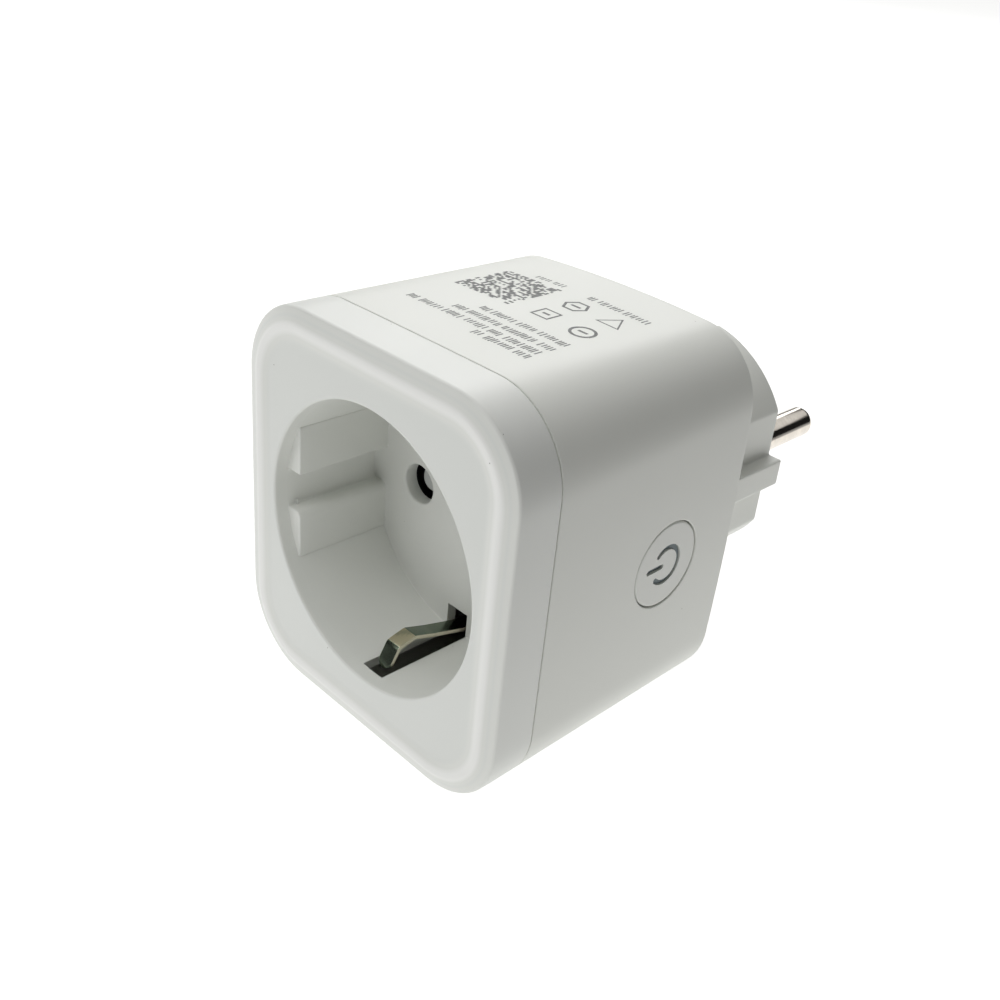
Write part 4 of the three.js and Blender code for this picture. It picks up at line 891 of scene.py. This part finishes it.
# %% Metals
def plated(name, colour, roughness, stretch, depth=0.0015):
    """Plated metal whose fine marks are noise drawn out by the (x, y, z) factors of stretch."""
    f = Finish(name)
    drawn = f.noise(0.25, 3.0, 0.6, f.stretched(stretch))
    clouds = f.noise(2.6, 3.0)
    tone = f.mix(f.ramp(clouds, (0.35, 0.0), (0.7, 1.0)), shaded(colour, 0.86), colour)
    tone = f.mix(f.ramp(drawn, (0.45, 0.0), (0.62, 0.22)), tone, shaded(colour, 0.62))
    uneven = roughness - 0.04 + clouds * 0.06 + drawn * 0.04
    return f.surface(
        colour=tone, roughness=uneven, metallic=1.0, bump=drawn, bump_depth=depth, bump_strength=0.4)


pin_nickel = plated("turned nickel", (0.80, 0.74, 0.66), 0.14, (0.15, 1.0, 0.15), depth=0.0008)
bow_nickel = plated("rolled nickel", (0.58, 0.56, 0.50), 0.28, (1.0, 0.12, 1.0))
metals = {
    "brass_strip": plated("brass strip", (0.76, 0.56, 0.24), 0.3, (1.0, 0.12, 1.0)),
    "copper_parts": plated("copper", (0.78, 0.38, 0.22), 0.32, (0.2, 1.0, 1.0)),
    "steel_parts": plated("zinc-plated steel", (0.55, 0.57, 0.58), 0.3, (1.0, 0.3, 1.0)),
}
print("metals:", [m.name for m in metals.values()])

# %% [markdown]
# ## Turned pins
#
# The pins are turned from bar and nickel-plated. A cylinder with a bevelled end would do for the
# shank. One profile turned about the pin's axis also gives the riveting stub and the flange that
# hold the pin inside the plug, and the domed tip is a quarter circle that ends in a small flat.

# %% Pins
FLANGE_FRONT, FLANGE_THICK, FLANGE = PLUG_END - 3.3, 1.4, 3.4
STUB, DOME = 1.2, 1.35


def plug_pin(name, node, x):
    """Rings of the profile's radii at its depths: stub, flange, shank and domed tip."""
    low, high = box_mm(node)
    stub, tip = low[1] - FACE_Y, high[1] - FACE_Y
    behind = FLANGE_FRONT - FLANGE_THICK
    profile = [(stub, 0.02), (stub, STUB - 0.15), (stub + 0.15, STUB), (behind, STUB)]
    profile += [(behind, FLANGE - 0.1), (behind + 0.1, FLANGE), (FLANGE_FRONT - 0.1, FLANGE)]
    profile += [(FLANGE_FRONT, FLANGE - 0.1), (FLANGE_FRONT, PIN), (PLUG_END, PIN), (tip - 9, PIN)]
    profile += [(tip - DOME * (1 - s), PIN - DOME * (1 - c)) for s, c in zip(*quarter(14))]
    profile += [(tip, PIN - DOME - 0.1), (tip, 0.02)]
    sheet = Sheet()
    rings = hole_rings(x, profile, 128)
    sheet.rings(rings)
    sheet.fill([rings[0]])
    sheet.fill([rings[-1]])
    piece(name, sheet, pin_nickel, "housing", [node], (0, 1, 0))


plug_pin("turned_line_pin", "line_pin", PIN_X)
plug_pin("turned_neutral_pin", "neutral_pin", -PIN_X)

# %% [markdown]
# ## Earth clips
#
# A clip is bent from spring strip. A curve with a bevel profile could carry the section, but it
# would turn the flat strip at every bend. Here a rectangle with broken edges is carried along a bent
# line with its width always along x. The line is a polyline whose corners are averaged away, so the
# crest stays a flat facet between two ramps. Near the free end the strip's width follows a quarter
# of an ellipse on each side, which rounds the tip.

# %% Earth clips
CREST = (8.6, 5.9)
CLIP_LINE = np.array([
    (22.6, -18.7), (17.4, -18.2), (12.0, -16.8), (CREST[0], -15.72), (CREST[1], -16.4), (4.25, -19.4)])
CLIP_HALF, CLIP_HALF_THICK, CLIP_TIP = 1.25, 0.3, 1.3


def spring_painted_reflections(name):
    """Dark nickel strip with painted reflections: dark green ramps, a warmer crest and pale sheared edges.
    """
    f = Finish(name)
    at = f.axes()
    drawn = f.noise(0.25, 3.0, 0.6, f.stretched((1.0, 0.1, 1.0)))
    clouds = f.noise(1.6, 3.0)
    crest = (at["Y"] > (CREST[1] + FACE_Y) * MM) * (at["Y"] < (CREST[0] + FACE_Y) * MM)
    sheared = at["X"] * at["X"] > (0.94 * CLIP_HALF * MM) ** 2
    # Painted reflections: dark green on the ramps, a warm tone on the crest facet, pale on the edges.
    tone = f.mix(clouds, (0.15, 0.19, 0.14), (0.21, 0.25, 0.19))
    tone = f.mix(crest * f.ramp(clouds + drawn * 0.4, (0.4, 0.35), (0.75, 1.0)), tone, (0.60, 0.55, 0.39))
    tone = f.mix(sheared, tone, (0.74, 0.70, 0.56))
    uneven = 0.2 + drawn * 0.08 + crest * 0.08 + sheared * 0.2
    return f.surface(
        colour=tone, roughness=uneven, metallic=1.0, bump=drawn, bump_depth=0.0015, bump_strength=0.4)


clip_nickel = spring_painted_reflections("clip nickel")


def along(points, step, smooth):
    """Evenly spaced points of a polyline, with corners averaged over smooth steps each way."""
    gone = np.concatenate([[0], np.cumsum(np.linalg.norm(np.diff(points, axis=0), axis=1))])
    at = np.linspace(0, gone[-1], int(gone[-1] / step) + 1)
    path = np.stack([np.interp(at, gone, points[:, k]) for k in range(2)], -1)
    padded = np.concatenate([np.repeat(path[:1], smooth, 0), path, np.repeat(path[-1:], smooth, 0)])
    return sum(padded[k:k + len(path)] for k in range(2 * smooth + 1)) / (2 * smooth + 1)


def strip_section(half_width, half_thick, bend, steps=4):
    """A rectangle with rounded corners as (across, through) pairs, counter-clockwise."""
    s, c = quarter(steps)
    first = np.stack([half_width - bend + bend * c, half_thick - bend + bend * s], -1)
    second = first[::-1] * [-1, 1]
    return np.concatenate([first, second, first * [-1, -1], second * [-1, -1]])


def earth_clip(name, node, side, body):
    """Point = path + across * half width * x + through * normal; side -1 is the upper clip."""
    path = along(CLIP_LINE, 0.16, 1)
    way = np.gradient(path, axis=0)
    way /= np.linalg.norm(way, axis=1)[:, None]
    normal = np.stack([-way[:, 1], way[:, 0]], -1)
    left = np.linalg.norm(path - path[-1], axis=1)
    half = CLIP_HALF * np.sqrt(np.clip(1 - np.clip(1 - left / CLIP_TIP, 0, 1) ** 2, 0.02, 1))
    section = strip_section(1.0, CLIP_HALF_THICK, 0.12)
    across = section[:, 0] * half[:, None]
    through = np.broadcast_to(section[:, 1], across.shape)
    y = path[:, :1] + normal[:, :1] * through
    z = (path[:, 1:] + normal[:, 1:] * through) * side
    sheet = Sheet()
    rings = np.stack([across, y, z], -1)
    sheet.rings(rings)
    for end in (rings[0], rings[-1]):
        sheet.add(end, [list(range(len(end)))])
    piece(name, sheet, clip_nickel, body, [node], (0, 0, -side), sharp=50)


earth_clip("lower_earth_clip", "earth_clip_lower", 1, "clip_lower")
earth_clip("upper_earth_clip", "earth_clip_upper", -1, "clip_upper")

# %% [markdown]
# ## Printed marks
#
# The top carries grey pad printing. It is made generic: rows of short bars stand for lines of small
# type, four plain shapes stand for marks, and a square of random cells stands for a coded square.
# A mask in the plastic's material could draw them, but flat shapes stay crisp at any distance. They
# float a hundredth of a millimetre above the plastic and follow its bulge and its slight lean.

# %% Ink and strokes
INK_HEIGHT, STROKE = 0.012, 0.42


def ink():
    """Thin dark ink; where the noise is high it is worn, so it is paler and a little rougher."""
    f = Finish("pad printing ink")
    wear = f.noise(0.5, 4.0, 0.7)
    tone = f.mix(f.ramp(wear, (0.42, 0.0), (0.7, 1.0)), (0.11, 0.115, 0.11), (0.27, 0.27, 0.26))
    uneven = f.ramp(wear, (0.3, 0.5), (0.7, 0.66))
    return f.surface(colour=tone, roughness=uneven, bump=wear, bump_depth=0.003)


def on_top(x, y):
    """Points of the printed layer: z is the height of the top at (x, y) plus the ink's own height."""
    return np.stack([x, y, top_z(x, y) + INK_HEIGHT], -1)


def bars(sheet, x0, x1, y0, y1):
    """Axis-aligned rectangles, one per row of the four arrays."""
    x = np.stack([x0, x1, x1, x0], -1)
    y = np.stack([y0, y0, y1, y1], -1)
    sheet.add(on_top(x, y), np.arange(x.size).reshape(-1, 4))


def type_row(sheet, rng, start, end, y, height):
    """A row of word-like groups of narrow upright strokes between x = start and x = end."""
    x, left, right = start, [], []
    while x > end:
        for _ in range(rng.integers(4, 13)):
            if x > end:
                left.append(x - 0.22)
                right.append(x)
            x -= rng.choice([0.38, 0.46, 0.6])
        x -= 0.5
    left, right = np.array(left), np.array(right)
    low = y - height / 2 * rng.choice([1.0, 0.72], len(left))
    high = y + height / 2 * rng.choice([1.0, 0.8], len(left))
    bars(sheet, left, right, low, high)


def outline_mark(sheet, x, y, sides, radius, stroke=STROKE, turn=0.0):
    """A regular polygon as a band between two radii: corner k lies at turn + 2 pi k / sides."""
    t = turn + np.linspace(0, 2 * np.pi, sides, endpoint=False)
    rings = [on_top(x + r * np.cos(t), y + r * np.sin(t)) for r in (radius, radius - stroke)]
    sheet.rings(np.stack(rings))


def coded_square(sheet, rng, left, front, cells, size):
    """A square of cells, about half of them filled: cell (r, c) starts at (left + c s, front + r s)."""
    row, column = np.nonzero(rng.random((cells, cells)) < 0.5)
    x, y = left + column * size, front + row * size
    bars(sheet, x, x + size, y, y + size)


# %% Printed marks
TYPE_ROWS = [
    (11.8, 2.4, 13.4), (11.5, -11.2, 15.3), (11.7, -5.0, 17.5), (11.6, -3.4, 19.9), (11.8, 1.6, 34.6)]
INNER_BARS = [(9.6, 24.8, 1.5), (3.0, 25.3, 1.2), (3.1, 30.6, 1.6)]


def printed_marks():
    """Rows of type as (start, end, y), the coded square, and a ring, square, triangle and hexagon."""
    sheet = Sheet()
    rng = np.random.default_rng(11)
    for start, end, y in TYPE_ROWS:
        type_row(sheet, rng, start, end, y, 1.35)
    type_row(sheet, rng, -3.0, -8.3, 35.0, 1.1)
    coded_square(sheet, rng, -12.0, 23.5, 25, 0.4)
    outline_mark(sheet, 9.6, 24.8, 48, 1.8)
    outline_mark(sheet, 3.0, 25.3, 4, 2.1, turn=np.pi / 4)
    outline_mark(sheet, 9.4, 30.4, 3, 2.2, 0.45, np.pi / 2)
    outline_mark(sheet, 3.1, 30.6, 6, 1.9)
    x, y, width = np.array(INNER_BARS).T
    bars(sheet, x - width / 2, x + width / 2, y - 0.22, y + 0.22)
    piece("printed_marks", sheet, ink(), "housing", outward=(0, 0, 1))


printed_marks()

# %% [markdown]
# ## Finishes inside
#
# The frame's own solids stay for everything behind the shells, so each gets a finish for what it
# is made of. Moulded parts share one recipe with their own tone, grain and gloss. The boards show
# their glass weave under a lacquer, the coil shows its turns and the earth wire has two colours.

# %% Other finishes
def moulded(name, colour, roughness=0.45, grain=0.2, coat=0.0):
    """Plain moulded or dipped part: clouded tone, fine grain, and gloss that varies a little."""
    f = Finish(name)
    clouds = f.noise(3.0, 3.0)
    fine = f.noise(grain, 3.0, 0.6)
    tone = f.mix(f.ramp(clouds, (0.3, 0.0), (0.7, 1.0)), shaded(colour, 0.88), colour)
    uneven = roughness - 0.06 + clouds * 0.12
    return f.surface(colour=tone, roughness=uneven, bump=fine, bump_depth=0.006, coat=coat)


def board(name, mask, ground):
    """Circuit board: lacquer over glass weave, two crossed waves, with scattered pale pads."""
    f = Finish(name)
    cloth = f.waves("X", 420.0, 1.2) * 0.5 + f.waves("Z", 420.0, 1.2) * 0.5
    pads = (f.cells(430.0)["Distance"] < 0.16) * (f.noise(7.0, 1.0) > 0.52)
    tone = f.mix(cloth * 0.5, mask, ground)
    tone = f.mix(pads, tone, (0.66, 0.62, 0.5))
    uneven = 0.34 + cloth * 0.12 - pads * 0.08
    return f.surface(colour=tone, roughness=uneven, bump=cloth, bump_depth=0.01, coat=0.35)


def wound(name, colour):
    """Enamelled wire laid side by side: fine bands across the winding, slightly uneven."""
    f = Finish(name)
    turns = f.waves("X", 900.0, 0.6)
    tone = f.mix(turns, shaded(colour, 0.45), colour)
    uneven = 0.28 + f.noise(2.0) * 0.14
    return f.surface(colour=tone, roughness=uneven, metallic=0.8, bump=turns, bump_depth=0.05)


def striped_wire(name):
    """Green wire insulation with a yellow stripe along its upper side."""
    f = Finish(name)
    upward = f.axes(f.node("ShaderNodeNewGeometry", {}, {})["Normal"])["Z"]
    fine = f.noise(0.25, 3.0)
    tone = f.mix(f.ramp(upward, (0.15, 0.0), (0.22, 1.0)), (0.05, 0.32, 0.08), (0.78, 0.68, 0.05))
    return f.surface(colour=tone, roughness=0.38 + fine * 0.12, bump=fine, bump_depth=0.006)


inside = {
    "shell_white": cover_white, "housing_white": housing_white, "nickel": bow_nickel,
    "spring_nickel": clip_nickel, **metals,
    "symbol_grey": moulded("light guide", (0.15, 0.19, 0.20), 0.5, 0.3),
    "board_green": board("green board", (0.02, 0.16, 0.07), (0.06, 0.26, 0.12)),
    "board_black": board("black board", (0.012, 0.016, 0.02), (0.04, 0.05, 0.055)),
    "black_plastic": moulded("black moulding", (0.02, 0.02, 0.022), 0.42),
    "shutter_grey": moulded("shutter plastic", (0.60, 0.62, 0.60), 0.42),
    "chip_black": moulded("chip epoxy", (0.028, 0.028, 0.03), 0.5, 0.12),
    "relay_blue": moulded("relay case", (0.05, 0.17, 0.42), 0.34, 0.4),
    "bobbin_cream": moulded("bobbin plastic", (0.74, 0.68, 0.54), 0.45),
    "capacitor_sleeve": moulded("capacitor sleeve", (0.03, 0.035, 0.05), 0.3, 0.5, coat=0.3),
    "film_yellow": moulded("film capacitor case", (0.66, 0.44, 0.06), 0.4),
    "varistor_blue": moulded("varistor dip", (0.04, 0.22, 0.38), 0.3, 0.6, coat=0.4),
    "resistor_green": moulded("resistor cement", (0.22, 0.34, 0.2), 0.6, 0.15),
    "ferrite": moulded("ferrite", (0.05, 0.045, 0.042), 0.55, 0.1),
    "led_white": moulded("lamp lens", (0.85, 0.82, 0.7), 0.2, 0.5),
    "wire_green_yellow": striped_wire("earth wire insulation"),
}
inside_nodes = {"relay_coil": wound("coil winding", (0.72, 0.3, 0.12))}
for entry in frame["record"]["subparts"]:
    shape = frame["nodes"][entry["node"]]
    shape.material_slots[0].material = inside_nodes.get(entry["node"], inside[entry["material_slot"]])
print("finishes given to", len(frame["record"]["subparts"]), "frame nodes")

# %% [markdown]
# ## Floor, light and camera
#
# The object stands on its flat underside on a pale floor. Lamps alone would leave a shadow under it,
# so the floor glows by itself, like a light table, and most of the light on the upright faces comes
# up from it. The glow ends beside the button: that side faces the dim part of the room, falls off
# into grey and keeps the body's form. Six broad lamps, above, behind, in front and low at the side,
# are weak beside the floor and set how bright the top, the edges and the recess are.

# %% Floor
LIT_EDGE, LIT_FADE = 0.085, 0.02
FLOOR_HALF, FLOOR_GAP = 6.0, 0.0001


def floor():
    """A flat square under the object: glow falls from 1 to 0.18 past x = LIT_EDGE, over LIT_FADE."""
    f = Finish("pale floor")
    clouds = f.noise(60.0, 2.0)
    fine = f.noise(0.8, 2.0)
    fall = {"Value": f.axes()["X"], "From Min": LIT_EDGE, "From Max": LIT_EDGE + LIT_FADE}
    fall.update({"To Min": 1.0, "To Max": 0.0})
    lit = f.node("ShaderNodeMapRange", {}, fall)["Result"]
    finish = f.surface(
        colour=f.mix(clouds, (0.30, 0.30, 0.30), (0.32, 0.32, 0.32)), roughness=0.85 + clouds * 0.1,
        bump=fine, bump_depth=0.004, specular=0.1, glow=f.mix(lit, (0.18, 0.18, 0.18), (1.0, 1.0, 0.99)),
        glow_strength=0.9,
    )
    corners = [(-1, -1, 0), (1, -1, 0), (1, 1, 0), (-1, 1, 0)]
    height = cover_low[2] * MM - FLOOR_GAP
    mesh = bpy.data.meshes.new("floor")
    mesh.from_pydata(np.array(corners) * FLOOR_HALF + [0, 0, height], [], [(0, 1, 2, 3)])
    mesh.materials.append(finish)
    ground = bpy.data.objects.new("floor", mesh)
    bpy.context.scene.collection.objects.link(ground)
    print("floor at", round(height, 5), "m, lit up to x =", LIT_EDGE, "m")


floor()


# %% Lights
MIDDLE = Vector((0.0, -0.04, 0.0))


def soft_light(name, place, size, power):
    """An area light of (width, height) metres that looks at the middle of the object."""
    data = bpy.data.lights.new(name, "AREA")
    data.shape = "RECTANGLE"
    data.size, data.size_y = size
    data.energy = power
    lamp = bpy.data.objects.new(name, data)
    lamp.location = place
    lamp.rotation_mode = "QUATERNION"
    lamp.rotation_quaternion = (MIDDLE - Vector(place)).to_track_quat("-Z", "Y")
    bpy.context.scene.collection.objects.link(lamp)


soft_light("overhead light", (-0.55, 0.10, 0.75), (0.8, 0.8), 5.6)
soft_light("back light", (-0.1, 0.95, 0.92), (1.7, 0.7), 3.0)
soft_light("left back light", (-0.65, 0.75, 0.5), (0.6, 0.6), 2.3)
soft_light("front light", (-0.3, -1.0, 0.8), (0.8, 0.8), 2.5)
soft_light("high front light", (0.0, -0.55, 0.95), (0.7, 0.7), 3.1)
soft_light("low side light", (1.0, -0.2, 0.05), (0.6, 0.6), 1.2)
world = bpy.data.worlds.new("dim room")
world.use_nodes = True
background = world.node_tree.nodes["Background"].inputs
background["Color"].default_value = (1.0, 1.0, 1.0, 1.0)
background["Strength"].default_value = 0.01
bpy.context.scene.world = world
bpy.context.scene.view_settings.view_transform = "Standard"
print("lamps:", len(bpy.data.lights), "with", round(sum(lamp.energy for lamp in bpy.data.lights), 1), "W")

# %% Camera
camera_place = Vector((0.09391, -0.13979, 0.07552))
picture_right, picture_up = Vector((0.6917, 0.7170, 0.0862)), Vector((-0.4017, 0.2828, 0.8711))
camera_data = bpy.data.cameras.new("camera")
camera_data.lens, camera_data.sensor_width = 41.74, 36.0
camera_data.clip_start, camera_data.clip_end = 0.01, 50.0
camera = bpy.data.objects.new("camera", camera_data)
turn = Matrix((picture_right, picture_up, picture_right.cross(picture_up))).transposed().to_4x4()
camera.matrix_world = Matrix.Translation(camera_place) @ turn
bpy.context.scene.collection.objects.link(camera)
bpy.context.scene.camera = camera
print("camera", round((camera_place - MIDDLE).length, 4), "m from the middle of the object")
